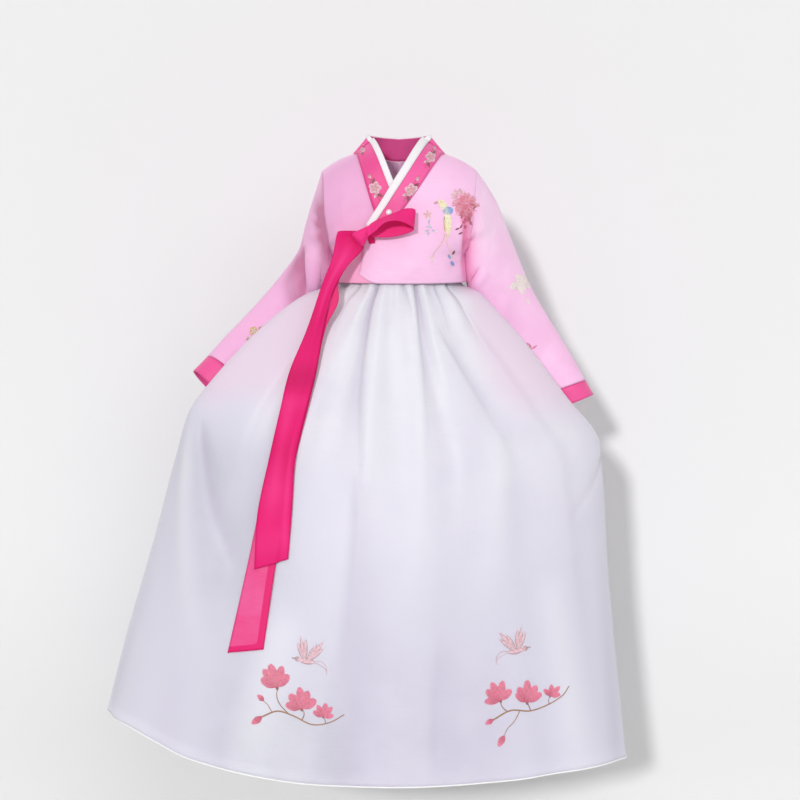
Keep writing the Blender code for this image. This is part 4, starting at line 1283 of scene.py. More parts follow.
class Needle:
    """Lays the threads of one embroidered place."""

    def __init__(self, tones, rng):
        self.tones, self.rng, self.threads = tones, rng, []

    def petal(self, at, angle, length, width, colours, threads=None, point=0.0, rim=None):
        """Threads fanned from a petal's foot over its breadth, to a rounded end or to a point."""
        threads = threads or max(int(width / THREAD_PITCH), 4)
        ahead, aside = way_of(angle)
        share = steps(7)
        rounded = 0.18 + 0.82 * np.sin(np.pi / 2 * np.clip(share / 0.75, 0, 1)) * (1 - 0.14 * share**4)
        pointed = 0.10 + 0.90 * np.sin(np.pi * (0.06 + 0.90 * share)) ** 0.9
        bulge = rounded * (1 - point) + pointed * point
        for place in np.linspace(-1, 1, threads):
            soft = 0.58 + 0.42 * math.sqrt(1 - (0.97 * place) ** 2)
            reach = length * (soft * (1 - point) + (1 - 0.10 * abs(place)) * point)
            reach *= self.rng.uniform(0.96, 1.02)
            across = place * width / 2 * bulge * self.rng.uniform(0.97, 1.02)
            points = np.array(at) + np.outer(share * reach, ahead) + np.outer(across, aside)
            tone = self.rng.uniform(-0.10, 0.10)
            shades = [mixed(*colours, float(np.clip(k + tone, 0, 1))) for k in share]
            if rim is not None and abs(place) > 0.78:
                shades = [rim] * len(shades)
            self.threads.append((points, shades))

    def pick(self, names):
        """Thread colours by their names."""
        return [self.tones[k] for k in names.split()]

    def petals(self, rows, at=(0, 0), size=1, facing=1):
        """Petals from lines of x, z, degrees, length, width, point, threads and two colours.

        A third colour is the rim's. With 0 threads there are as many as the width takes.
        """
        for (x, z, degrees, length, width, point, threads), names in rows_of(rows):
            place = (at[0] + facing * x * size, at[1] + z * size)
            angle = math.radians(degrees if facing > 0 else 180 - degrees)
            tones = self.pick(names)
            self.petal(place, angle, length * size, width * size, tones[:2], int(threads), point, *tones[2:])

    def blossom(self, at, angle, size, colours, petals=5, fan=2.6):
        """A flower seen from its side: petals fanned from a small foot, the middle ones last."""
        rng, order = self.rng, np.linspace(-1, 1, petals)
        for k, place in enumerate(order[np.argsort(-np.abs(order), kind="stable")]):
            turn = angle + place * fan / 2 + rng.uniform(-0.10, 0.10)
            reach = size * (1.0 - 0.22 * abs(place)) * rng.uniform(0.90, 1.06)
            tone = colours[0] if k % 2 else colours[2]
            self.petal(at, turn, reach, size * rng.uniform(0.38, 0.45), (tone, colours[1]))
        foot = np.array(at) - 0.16 * size * way_of(angle)[0]
        self.petal(foot, angle, size * 0.30, size * 0.14, (colours[3], colours[0]), point=0.5)

    def round_flower(self, at, size, colours, turn=0.0, rim=None):
        """An open flower with petals all round a small middle."""
        for k in range(5):
            angle = turn + math.tau * k / 5 + self.rng.uniform(-0.08, 0.08)
            self.petal(at, angle, size * 0.5, size * 0.40, colours[:2], rim=rim)
        middle = np.array(at) - (size * 0.08, 0)
        self.petal(middle, 0, size * 0.17, size * 0.15, (colours[2], colours[2]))

    def tuft(self, at, size, colours, count):
        """A loose round of short narrow petals that cross one another."""
        rng = self.rng
        for _ in range(count):
            turn, away = rng.uniform(0, math.tau), size * 0.45 * math.sqrt(rng.uniform(0, 1))
            foot = (at[0] + away * math.cos(turn), at[1] + away * math.sin(turn))
            tones = mixed(*colours, rng.uniform(0, 1)), colours[0]
            turn += rng.uniform(-0.9, 0.9)
            self.petal(foot, turn, size * rng.uniform(0.25, 0.45), 0.0024, tones, point=0.6)

    def twig(self, points, width, colours):
        """A thin branch of threads laid side by side along a bent line."""
        points = np.array(points, float)
        keys = steps(len(points))
        at = steps(max(8, 6 * len(points)))
        line = np.stack([curve(keys, points[:, k], at) for k in range(2)], axis=1)
        way = np.gradient(line, axis=0)
        aside = np.stack([-way[:, 1], way[:, 0]], axis=1)
        aside /= np.maximum(np.linalg.norm(aside, axis=1, keepdims=True), 1e-9)
        for place in np.arange(-width / 2, width / 2 + 1e-6, TWIG_PITCH):
            shades = [mixed(*colours, self.rng.uniform(0, 1))] * len(line)
            self.threads.append((line + aside * place * (1 - 0.5 * at)[:, None], shades))

    def swallow(self, at, size, facing):
        """A small bird in flight, its wings raised. Facing is 1 to the right, -1 to the left."""
        self.petals("""
             .05   0   66 .62 .13  1 0 down down quill
             .05   0   80 .78 .13  1 0 down down quill
             .05   0   93 .70 .13  1 0 down down quill
            -.04   0  118 .60 .14  1 0 down down quill
            -.04   0  130 .80 .14  1 0 down down quill
            -.04   0  142 .66 .14  1 0 down down quill
            -.26 -.05   8 .56 .19 .8 0 down down quill
             .20 .02   14 .17 .15  0 0 down quill
             .35 .06    4 .12 .03  1 2 branch branch
        """, at, size, facing)
        for bend in (0.10, -0.02):
            tail = [(-0.24, -0.05), (-0.42, -0.10 + bend), (-0.60, -0.22 + bend), (-0.66, -0.40 + bend)]
            tail = [(at[0] + facing * x * size, at[1] + z * size) for x, z in tail]
            self.twig(tail, 0.0005, self.pick("quill down"))

    def songbird(self, at, size):
        """A bird at rest, its head up and its two long tail feathers hanging."""
        for tail in ([(0.02, -0.42), (-0.06, -0.62), (-0.20, -0.80), (-0.24, -0.98)],
                     [(0.05, -0.42), (0.06, -0.62), (0.14, -0.78), (0.17, -0.90)]):
            tail = [(at[0] + x * size, at[1] + z * size) for x, z in tail]
            self.twig(tail, 0.0008, self.pick("feather cream"))
        self.petals("""
             .06  .04 -88 .52 .15 .85 44 breast cream
             .05  .02 124 .26 .14   0 38 breast cream
            -.03  .01   6 .20 .17  .1 54 wing blue
               0 -.09 -88 .30 .03   1  0 branch gold
            -.12  .19 200 .08 .04   1  3 gold branch
        """, at, size)
        eye = (at[0] - 0.08 * size, at[1] + 0.19 * size)
        self.petal(eye, 0.3, 0.035 * size, 0.03 * size, self.pick("branch branch"), 3)

    def spray(self, at, angle, size, colours):
        """A small flower with a bud and leaves, strung along one direction."""
        light, dark, deep, middle = colours
        ahead, aside = way_of(angle)
        at, reach = np.array(at), 0.55 * size * ahead
        self.twig([at - reach, at - 0.1 * size * aside, at + reach], 0.0007, (dark, deep))
        for along, turn, length, width, tones, point in (
                (0.26, 0.7, 0.26, 0.12, (dark, deep), 1), (0.18, -0.8, 0.26, 0.12, (deep, light), 1),
                (-0.20, 2.5, 0.24, 0.11, (dark, deep), 1), (-0.42, 3.3, 0.22, 0.13, (light, deep), 0.4)):
            foot = at + along * size * ahead
            self.petal(foot, angle + turn, length * size, width * size, tones, point=point)
        self.round_flower(at, size * 0.52, (deep, light, middle), angle, light)


def laid_on(threads, surfaces, lift):
    """Threads brought onto the faces behind them, later ones over earlier ones."""
    lines, colours = [], []
    for k, (points, shades) in enumerate(threads):
        line, raised = [], lift * (1 + k / len(threads))
        for x, z in points:
            met = [hit for hit in (seen_on(k, x, z) for k in surfaces) if hit[0] is not None]
            place, normal = min(met, key=lambda hit: hit[0].y, default=(None, None))
            if place is None or line and place.y - line[-1].y > EDGE_DROP:
                break
            line.append(place + (normal if normal.y < 0 else -normal) * raised)
        if len(line) > 2:
            lines.append(line)
            colours.append(shades[:len(line)])
    return lines, colours


# What a user may change.


def size_property(name, description, default, low, high):
    return FloatProperty(name=name, description=description, default=default, min=low, max=high,
                         unit="LENGTH", subtype="DISTANCE", precision=5)


def colour_property(name, description, red, green, blue):
    return FloatVectorProperty(name=name, description=description, default=linear(red, green, blue),
                               size=3, min=0, max=1, subtype="COLOR")


class HanbokSizes(bpy.types.PropertyGroup):
    """The finished cloth's and threads' sizes."""

    cloth: size_property("Jacket cloth", "Thickness of the jacket's cloth", 0.0008, 0.0004, CLOTH)
    sheer: size_property("Sheer cloth", "Thickness of the organza, lining and ribbons", 0.0006, 0.0003, SHEER)
    weave: size_property("Weave", "Distance between two threads of the jacket's cloth", 0.0005, 0.0002, 0.002)
    thread: size_property("Silk thread", "Radius of the embroidery's thread", 0.00026, 0.0001, 0.0006)
    sewing_thread: size_property("Sewing thread", "Radius of the sewing thread", 0.00018, 0.0001, 0.0005)
    stitch: size_property("Stitch", "Length of one running stitch", 0.0022, 0.001, 0.006)
    gap: size_property("Gap", "Gap between two running stitches", 0.0010, 0.0005, 0.006)
    top_stitch: size_property("Edge stitching", "How far the stitching lies inside an edge",
                              0.0055, 0.001, 0.012)
    hem_roll: size_property("Rolled hem", "Radius of the organza's rolled hem", 0.0013, 0.0004, 0.002)
    seed: IntProperty(name="Seed", description="Start of the embroidery's small unevenness", default=7, min=0)


class HanbokColours(bpy.types.PropertyGroup):
    """The cloths' and threads' colours."""

    jacket: colour_property("Jacket", "The jacket's pale pink", 255, 207, 242)
    # Its deeper tone serves for the cloth's uneven tone and for the painted shade on the inner front and the
    # right sleeve.
    jacket_shade: colour_property("Jacket shade", "Its deeper tone", 246, 184, 225)
    # Painted shade deep in the folds: this one on the right half and right sleeve, the next, warmer one on
    # the left half and left sleeve.
    jacket_fold: colour_property("Jacket folds", "Its tone deep in a fold", 204, 126, 164)
    jacket_blush: colour_property("Left sleeve folds", "Its warmer tone under the left arm", 246, 136, 182)
    # A deeper pink painted on the inner front by the ribbons, for the shade of the flap and ribbons and the
    # pink light they throw on it.
    underlap: colour_property("Underlap", "The inner front by the ribbons", 255, 172, 210)
    cuff: colour_property("Cuffs", "The cuffs' pink", 246, 92, 160)
    collar: colour_property("Collar", "The collar's pink", 248, 98, 168)
    ribbon: colour_property("Ribbon", "The ribbons' pink", 234, 26, 116)
    ribbon_shade: colour_property("Ribbon shade", "Their deeper tone", 216, 30, 104)
    # Painted shade in the ribbon's folds and bands, and painted highlight on their crests.
    ribbon_fold: colour_property("Ribbon folds", "Their tone deep in a fold", 186, 12, 86)
    ribbon_light: colour_property("Ribbon light", "Their tone on a fold's crest", 250, 66, 146)
    ribbon_sheer: colour_property("Sheer ribbon", "The back ribbon's single layer", 238, 96, 156)
    white: colour_property("White", "The collar strip and the band", 246, 242, 246)
    organza: colour_property("Organza", "The skirt's outer layer", 250, 248, 255)
    # Its cooler tone serves for the cloth's uneven tone and for the painted shade on the skirt.
    organza_shade: colour_property("Organza shade", "Its cooler tone", 236, 233, 248)
    # Painted shade in the gathers, and painted highlight between them.
    organza_fold: colour_property("Organza folds", "Its tone deep in a gather", 196, 184, 208)
    organza_crest: colour_property("Organza crests", "Its tone between the gathers", 248, 248, 255)
    lining: colour_property("Lining", "The skirt's inner layer", 252, 251, 254)
    rose: colour_property("Rose", "The blossoms' deep thread", 200, 96, 122)
    pink: colour_property("Pink", "The blossoms' light thread", 240, 140, 166)
    pale: colour_property("Pale pink", "The birds' and buds' thread", 246, 214, 224)
    branch: colour_property("Branch", "The branches' thread", 150, 104, 96)
    cream: colour_property("Cream", "The small flowers' thread", 250, 238, 196)
    gold: colour_property("Gold", "The flowers' middles", 228, 188, 110)
    blue: colour_property("Blue", "The small bird's wing", 138, 172, 226)
    backdrop: colour_property("Backdrop", "The wall and floor", 238, 238, 238)


class Hanbok(bpy.types.PropertyGroup):
    """Everything that a user may change."""

    sizes: PointerProperty(type=HanbokSizes)
    colours: PointerProperty(type=HanbokColours)


def chosen():
    """The sizes and colours in use."""
    hanbok = bpy.context.scene.hanbok
    colours = {k: tuple(getattr(hanbok.colours, k)) for k in HanbokColours.__annotations__}
    return hanbok.sizes, SimpleNamespace(**colours)


# The pieces.

# Steps of the finished grids.
JACKET_ROWS, JACKET_COLUMNS = (16, 62), 64  # the rows below and above the armpit
SLEEVE_ROWS, SLEEVE_COLUMNS = (28, 70), 96  # the rows by the armhole and beyond it
CUFF_ROWS = 9
COLLAR_ROWS, PINK_COLUMNS, WHITE_COLUMNS = 76, 7, 4  # the columns of its pink and of the strip
SKIRT_ROWS, SKIRT_COLUMNS = 122, (230, 170)  # the columns in front and behind
LINING_ROWS, LINING_COLUMNS = 100, 260
BAND_ROWS, BAND_COLUMNS = 9, 120
END_ROWS, END_COLUMNS = 150, 15
SHORT_END_ROWS, SHORT_END_COLUMNS = 24, 7
LOOP_ROWS, LOOP_COLUMNS = 130, 11
KNOT_ROWS, KNOT_COLUMNS = 25, 64
SNAP_COLUMNS = 32

CUFF_GAP = 0.0008  # half the gap between a sleeve and its cuff, as a share of the sleeve's length
SLEEVE_HEAD = 0.24  # share of a sleeve's length that has the closer rows
SKIRT_FRONT = (200, 340)  # degrees round the skirt between which its front lies
LINING_FOOT = 0.982  # share of the skirt's way down where the lining ends
GATHER_DEPTH = 0.0060  # of the deepest gathers
KNOT_BACK, KNOT_FRONT = -0.0955, -0.0990  # where the ends leave the knot, front to back
END_LIFT, SHORT_END_LIFT = 0.0024, 0.0018  # how far the ends lie off what they hang over
BEHIND = (0, 0.3, -0.4)  # a place behind the ribbons, for telling their front from their back
# A grey that the skirt's painted shade is mixed with.
SHADE_GREY = (0.5, 0.52, 0.56)

def closed_up(form, mesh):
    """Puts a closed form into a mesh, its faces turned out and smooth."""
    bmesh.ops.recalc_face_normals(form, faces=form.faces)
    form.to_mesh(mesh)
    form.free()
    mesh.shade_smooth()


class MakeJacket(bpy.types.Operator):
    """Makes the two halves of the jacket"""

    bl_idname = "hanbok.jacket"
    bl_label = "Jacket"

    def execute(self, context):
        sizes, colours = chosen()
        low, high = np.linspace(0, ARMPIT, JACKET_ROWS[0])[:-1], np.linspace(ARMPIT, 1, JACKET_ROWS[1])
        front, back = np.concatenate([low, high[:-1]]), np.concatenate([low, high])[::-1]
        plain, shade = colours.jacket, colours.jacket_shade
        # Painted shade: the inner front's face is darker, as if the light came from the wearer's left.
        shaded_right_front = dimmed(mixed(plain, shade, 1.2), 0.93)
        # Painted shade with pink thrown light on the inner front beside the ribbons.
        ribbon_shade_area = [(0, -0.096, -0.088), (2, -0.118, -0.130), (1, -0.02, -0.05)]
        areas = [(shaded_right_front, [(1, 0.0, -0.04)]), (colours.underlap, ribbon_shade_area)]
        under = cloth_material("jacket cloth, inner front", plain, shade, 0.5, sizes.weave,
                               areas=areas, deep=colours.jacket_fold)
        plain = cloth_material("jacket cloth", plain, shade, 0.5, sizes.weave, deep=colours.jacket_blush)
        for name, side, material in (("jacket_right_half", -1, under), ("jacket_left_half", 1, plain)):
            grid = facing_out(jacket_half(side, front, back, JACKET_COLUMNS), False, TRUNK_MIDDLE)
            # Painted shade in the deep folds, handed to the material as fold marks.
            folds = painted_fold_shade(grid, normals(grid, False))
            grid = creased(grid, normals(grid, False), JACKET_CREASES)
            grid = swollen(grid, normals(grid, False), SHOULDER_SWELLS)
            obj = cloth(name.replace("_half", ""), grid, sizes.cloth, folds=folds)
            sewn_in(obj, name, material)
        return {"FINISHED"}


class MakeSleeves(bpy.types.Operator):
    """Makes the two sleeves and their cuffs"""

    bl_idname = "hanbok.sleeves"
    bl_label = "Sleeves and cuffs"

    def execute(self, context):
        sizes, colours = chosen()
        plain, shade = colours.jacket, colours.jacket_shade
        # Painted shade: the right sleeve is darker out from near its armhole, as if the light came from the
        # wearer's left.
        upper = [(mixed(plain, shade, 0.9), [(0, -0.10, -0.14)])]
        # Painted light: the upper part of the left sleeve is lighter, to match the lit jacket beside it.
        light = [(mixed(plain, (1, 1, 1), 0.2), [(0, 0.10, 0.13), (2, -0.20, -0.10)])]
        hot = cloth_material("cuff cloth", colours.cuff, dimmed(colours.cuff, 0.8), 0.42, sizes.weave)
        head = np.linspace(0, SLEEVE_HEAD, SLEEVE_ROWS[0])[:-1]
        alongs = np.concatenate([head, np.linspace(SLEEVE_HEAD, 1 - CUFF_GAP, SLEEVE_ROWS[1])])
        for name, side, form, creases, areas, deep in (
                ("right", -1, SLEEVE_RIGHT, RIGHT_SLEEVE_CREASES, upper, colours.jacket_fold),
                ("left", 1, SLEEVE_LEFT, LEFT_SLEEVE_CREASES, light, colours.jacket_blush)):
            pink = cloth_material(f"sleeve cloth, {name}", plain, shade, 0.5, sizes.weave,
                                  areas=areas, deep=deep)
            grid = turned_out(sleeve(side, form, alongs, SLEEVE_COLUMNS))
            # Painted shade in the deep folds, handed to the material as fold marks.
            folds = painted_fold_shade(grid, normals(grid, True))
            grid = creased(grid, normals(grid, True), creases)
            grid = swollen(grid, normals(grid, True), SHOULDER_SWELLS)
            grid = swollen(grid, normals(grid, True), UNDERARM_SWELLS, ease(0, 0.08, alongs)[:, None])
            obj = cloth(f"{name}_sleeve", grid, sizes.cloth, closed=True, folds=folds)
            sewn_in(obj, f"sleeve_{name}", pink)
            ends = np.linspace(1 + CUFF_GAP, form.along[-1], CUFF_ROWS)
            cuff = turned_out(sleeve(side, form, ends, SLEEVE_COLUMNS))
            obj = cloth(f"{name}_cuff", cuff, sizes.cloth, closed=True)
            sewn_in(obj, f"cuff_{name}", hot)
        return {"FINISHED"}


# The snap from the middle of its top to its foot, in shares of its radius and its height.
SNAP_PROFILE = ((0.0, 1.0), (0.45, 0.96), (0.72, 0.80), (0.80, 0.60), (0.84, 0.46), (0.94, 0.44),
                (1.0, 0.30), (0.99, 0.06), (0.0, 0.0))


class MakeCollar(bpy.types.Operator):
    """Makes the collar, its white strip and the snap on its end"""

    bl_idname = "hanbok.collar"
    bl_label = "Collar, strip and snap"

    def execute(self, context):
        sizes, colours = chosen()
        alongs = steps(COLLAR_ROWS)
        pink = 1 - STRIP_SHARE
        shares = np.concatenate([np.linspace(0, pink, PINK_COLUMNS)[:-1],
                                 np.linspace(pink, 1, WHITE_COLUMNS), [1 + STRIP_PROUD]])
        whole = round_collar(alongs, shares, COLLAR_LIFT)
        out = normals(whole, False)
        if (out * (whole - TRUNK_MIDDLE)).sum() < 0:
            whole, out = whole[::-1], -out[::-1]
        strip = (whole + out * (SEAM + SHEER + COLLAR_EASE + STRIP_GAP))[:, PINK_COLUMNS - 1:]
        # Painted shade: the collar's right front is a deeper, richer pink.
        shaded_right_collar = [(mixed(colours.collar, colours.ribbon, 0.4), [(0, 0.0, -0.02), (2, 0.03, -0.01)])]
        shade = dimmed(colours.collar, 0.82)
        hot = cloth_material("collar cloth", colours.collar, shade, 0.42, sizes.weave, areas=shaded_right_collar)
        shade = dimmed(colours.white, 0.94)
        white = cloth_material("white strip cloth", colours.white, shade, 0.5, sizes.weave)
        obj = cloth("collar", whole[:, :-1], COLLAR_WALL)
        sewn_in(obj, "collar_band", hot)
        obj = cloth("white_strip", strip, sizes.cloth)
        sewn_in(obj, "collar_white_strip", white)
        self.snap(colours)
        return {"FINISHED"}

    def snap(self, colours):
        """A low round cap with a rim, pressed onto the collar's end."""
        x, z = BUTTON_PLACE
        turn = front_turn(x, z)
        foot, top = (on_trunk(turn, np.array(x), COLLAR_LIFT + k) for k in (0.0, 0.004))
        axis = (top - foot) / np.linalg.norm(top - foot)
        radius, height = BUTTON_DIAMETER / 2, BUTTON_HEIGHT * 0.75
        form = bmesh.new()
        rings = []
        for share, rise in SNAP_PROFILE:
            angles = [math.tau * k / SNAP_COLUMNS for k in range(SNAP_COLUMNS if share else 1)]
            rings.append([form.verts.new((share * radius * math.cos(k), share * radius * math.sin(k),
                                          rise * height)) for k in angles])
        for one, other in zip(rings[:-1], rings[1:]):
            for k in range(SNAP_COLUMNS):
                face = [one[k % len(one)], other[k % len(other)],
                        other[(k + 1) % len(other)], one[(k + 1) % len(one)]]
                form.faces.new(list(dict.fromkeys(face)))
        turned_up = mathutils.Vector(axis).to_track_quat("Z", "Y").to_matrix().to_4x4()
        bmesh.ops.transform(form, matrix=mathutils.Matrix.Translation(foot) @ turned_up, verts=form.verts)
        obj = put("snap", bpy.data.meshes.new("snap"), pearl_material("snap cap", colours.white))
        closed_up(form, obj.data)
        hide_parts("snap_button")
        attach(obj, "root")


class MakeSkirt(bpy.types.Operator):
    """Makes the skirt's organza and lining, and the band they hang from"""

    bl_idname = "hanbok.skirt"
    bl_label = "Skirt and band"

    def execute(self, context):
        sizes, colours = chosen()
        white, shade, fold = colours.organza, colours.organza_shade, colours.organza_fold
        # Painted shade on the organza: cooler low down, darker towards the wearer's right, greyer low in the
        # middle, round the right sprig and at mid height on the right side.
        shade_grey = mixed(shade, SHADE_GREY, 0.42)
        sides = [(0, -0.10, -0.20), (0, -0.37, -0.28), (2, -0.36, -0.46), (2, -0.75, -0.60)]
        skirt_shade_areas = [(shade, [(2, -0.20, -0.80)]),
                (mixed(shade, white, 0.2), [(0, -0.05, -0.34)]),
                (mixed(shade, fold, 0.35), [(2, -0.55, -0.88), (0, 0.26, 0.02), (0, -0.42, -0.10)]),
                (shade_grey, [(2, -0.68, -0.84), (0, -0.31, -0.20), (0, -0.03, -0.13)]),
                (mixed(shade, shade_grey, 0.7), sides)]
        sheer = cloth_material("organza", white, shade, 0.4, 0.0006, 0.2, 0.35, alpha=(0.74, 0.70),
                               areas=skirt_shade_areas, deep=fold, tint=mixed(white, colours.jacket, 0.36),
                               crest=colours.organza_crest)
        shade = dimmed(colours.lining, 0.95)
        satin = cloth_material("lining satin", colours.lining, shade, 0.32, 0.0004, 0.2, 0.1)
        shade = dimmed(colours.white, 0.94)
        plain = cloth_material("band cloth", colours.white, shade, 0.5, sizes.weave)
        start, end = np.radians(SKIRT_FRONT)
        angles = np.concatenate([np.linspace(start, end, SKIRT_COLUMNS[0], endpoint=False),
                                 np.linspace(end, start + math.tau, SKIRT_COLUMNS[1], endpoint=False)])
        downs = steps(SKIRT_ROWS)
        rings = skirt(downs, angles)
        # Painted shade in the gathers' troughs, fading down the skirt, and painted highlight on their ridges,
        # handed on as fold marks.
        heights = np.array([skirt_creases(down, angles) for down in downs])
        faded = 1 - 0.5 * ease(0.12, 0.5, downs)[:, None]
        deep = heights / GATHER_DEPTH
        pressed = np.clip(-deep, 0, 1) ** 1.3 * faded - np.clip(deep, 0, 0.9)
        grid = turned_out(rings)
        pressed = pressed if grid is rings else pressed[:, ::-1]
        obj = cloth("organza_skirt", grid, sizes.sheer, closed=True, folds=pressed)
        self.thin_over_sleeves(obj, grid)
        sewn_in(obj, "skirt_organza", sheer)
        angles = angles_round(LINING_COLUMNS)
        downs = np.linspace(0, LINING_FOOT, LINING_ROWS)
        inset = SHEER + SEAM + (LINING_INSET - SHEER - SEAM) * ease(0, 0.12, downs)[:, None]
        grid = turned_out(skirt(downs, angles, inset, lining=True))
        obj = cloth("skirt_satin", grid, sizes.sheer, closed=True)
        sewn_in(obj, "skirt_lining", satin)
        heights = np.linspace(BAND_TOP, BAND_BOTTOM, BAND_ROWS)
        rings = np.array([trunk_ring(z, INSIDE, BAND_COLUMNS) for z in heights])
        obj = cloth("band", turned_out(rings), sizes.cloth, closed=True)
        sewn_in(obj, "skirt_band", plain)
        return {"FINISHED"}

    def thin_over_sleeves(self, obj, grid):
        """Marks where the single layer passes in front of a sleeve, softly."""
        arms = [surface_of(*GRIDS[k]) for k in ("right_sleeve", "left_sleeve", "right_cuff", "left_cuff")]
        ahead = mathutils.Vector((0, 1, 0))
        met = np.array([float(any(arm.ray_cast(mathutils.Vector(p), ahead)[0] for arm in arms))
                        for p in grid.reshape(-1, 3)]).reshape(grid.shape[:2])
        for step in (1, 2, 3, 5, 7):
            met = (met + np.roll(met, step, axis=1) + np.roll(met, -step, axis=1)) / 3
            for _ in range(2):
                met[1:-1] = (met[:-2] + met[1:-1] + met[2:]) / 3
        marked(obj.data, "thin", met)


def fold_heights(table, along, share):
    """How far a hanging ribbon's folds stand out."""
    total = np.zeros(np.broadcast(along, share).shape)
    for k in each(table):
        way = np.clip((along - k.along) / (k.to_along - k.along), 0, 1)
        place = between(k.across, k.to_across, way)
        faded = ease(1.0, 0.7, way) if k.along == 0 else tapered(way)
        total += k.height * np.exp(-(((share - place) / k.width) ** 2)) * faded
    return total


class MakeRibbons(bpy.types.Operator):
    """Makes the bow's loop, its knot, the short end and the two long ends"""

    bl_idname = "hanbok.ribbons"
    bl_label = "Ribbons"

    def execute(self, context):
        sizes, colours = chosen()
        bright, deep, light = colours.ribbon, colours.ribbon_shade, colours.ribbon_light
        # The front end's silk paints shade in its folds and bands and a highlight on their crests.
        silk = cloth_material("ribbon silk", bright, deep, 0.5, 0.0004, sheen=0.0, gloss=0.12,
                              deep=colours.ribbon_fold, crest=light)
        # Painted light: the loop and knot take a lighter copy of the ribbon silk, mixed with its crest
        # highlight tone.
        bow_silk_lit = cloth_material("ribbon silk, bow", mixed(light, bright, 0.35), bright, 0.5, 0.0004,
                               sheen=0.0, gloss=0.12)
        sheer = cloth_material("ribbon silk, single", colours.ribbon_sheer, bright, 0.5, 0.0004,
                               sheen=0.03, border=(mixed(bright, deep, 0.2), 0.0105))
        fronts = [surface_of(*GRIDS[k]) for k in
                  ("jacket_left", "jacket_right", "collar", "white_strip", "organza_skirt")]
        loop = ribbon(LOOP, steps(LOOP_ROWS), steps(LOOP_COLUMNS))
        obj = cloth("loop", loop, sizes.sheer, towards=0)
        sewn_in(obj, "ribbon_loop", bow_silk_lit)
        ends = (
            ("back_end", "ribbon_back_tail", BACK_TAIL, BACK_TAIL_FOLDS, KNOT_BACK, sheer, True),
            ("front_end", "ribbon_front_tail", FRONT_TAIL, FRONT_TAIL_FOLDS, KNOT_FRONT, silk, False),
        )
        alongs, shares = steps(END_ROWS), steps(END_COLUMNS)
        for name, node, form, folds, start_y, material, edges in ends:
            grid = hanging(form, alongs, shares, fronts, END_LIFT, start_y)
            raised = fold_heights(folds, alongs[:, None], shares[None, :])
            grid[..., 1] -= raised - raised.min()
            # Painted shade and highlight in bands across each end, and painted highlight on its raised folds,
            # handed on as fold marks; only the front end's silk shows them.
            turns = np.exp(-(((alongs[:, None] - FRONT_TAIL_SHADE_BANDS.along) / FRONT_TAIL_SHADE_BANDS.reach) ** 2))
            pressed = (turns * FRONT_TAIL_SHADE_BANDS.dark).sum(axis=1)[:, None] + 0 * raised
            pressed -= np.clip(raised / 0.0020, 0, 0.4)
            faced = facing_out(grid, False, BEHIND)
            pressed = pressed if faced is grid else pressed[:, ::-1]
            obj = cloth(name, faced, sizes.sheer, edges=edges, folds=pressed)
            sewn_in(obj, node, material)
            fronts.append(surface_of(faced, False))
        alongs, shares = steps(SHORT_END_ROWS), steps(SHORT_END_COLUMNS)
        short = hanging(SHORT_END, alongs, shares, fronts[:5], SHORT_END_LIFT, KNOT_BACK)
        obj = cloth("short_end", facing_out(short, False, BEHIND), sizes.sheer)
        sewn_in(obj, "ribbon_short_end", silk)
        self.knot(bow_silk_lit)
        return {"FINISHED"}

    def knot(self, silk):
        """A soft four-cornered pad with the wrap's creases."""
        corners = np.stack([KNOT_CORNERS.x, KNOT_CORNERS.z], axis=1)
        middle = corners.mean(axis=0)
        angles = angles_round(KNOT_COLUMNS)
        ways = np.stack([np.cos(angles), np.sin(angles)], axis=1)
        reach = np.full(len(angles), np.inf)
        for one, other in zip(corners, np.roll(corners, -1, axis=0)):
            side = other - one
            out = np.array([side[1], -side[0]]) / np.linalg.norm(side)
            out *= np.sign(out @ (one - middle))
            toward = ways @ out
            limit = np.where(toward > 1e-6, (out @ (one - middle)) / np.maximum(toward, 1e-6), np.inf)
            reach = np.minimum(reach, limit)
        reach = np.convolve(np.tile(reach, 3), np.ones(5) / 5, "same")[KNOT_COLUMNS:2 * KNOT_COLUMNS]
        rows = np.linspace(0, math.pi, KNOT_ROWS)
        wide = np.sin(rows) ** 0.6
        deep = np.sign(np.cos(rows)) * np.abs(np.cos(rows)) ** 0.8
        flat = middle + wide[:, None, None] * reach[None, :, None] * ways[None]
        y = KNOT_MIDDLE - 0.5 * KNOT_DEPTH * deep[:, None] + 0 * reach[None]
        grid = np.stack([flat[..., 0], y, flat[..., 1]], axis=-1)
        grid = turned_out(grid)
        grid = creased(grid, normals(grid, True), KNOT_CREASES)
        obj = put("knot", mesh_on("knot", grid, True), silk)
        layer = obj.data.uv_layers.new(name="cloth")
        for loop in obj.data.loops:
            place = obj.data.vertices[loop.vertex_index].co
            layer.data[loop.index].uv = (place.x, place.z)
        form = bmesh.new()
        form.from_mesh(obj.data)
        bmesh.ops.remove_doubles(form, verts=form.verts, dist=0.00002)
        closed_up(form, obj.data)
        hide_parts("ribbon_knot")
        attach(obj, "root")


# The threads' mixed tones: two tones and the share of the second.
MIXED_TONES = """
    .14 down    pale   rose
    .7  quill   pale   branch
    .35 bark    branch gold
    .5  bloom   rose   pink
    .5  frost   pale   snow
    .15 ivory   frost  cream
    .35 red     rose   branch
    .6  soft    rose   pink
    .4  dark    branch ink
    .35 blush   pink   pale
    .6  feather gold   dusk
    .3  breast  cream  snow
    .35 wing    blue   breast
    .45 sky     blue   pale
    .4  shell   pink   pale
    .4  brown   branch gold
    .6  wine    rose   branch
    .45 plum    wine   ink
"""
SWALLOW_SIZE, SONGBIRD_SIZE = 0.046, 0.076

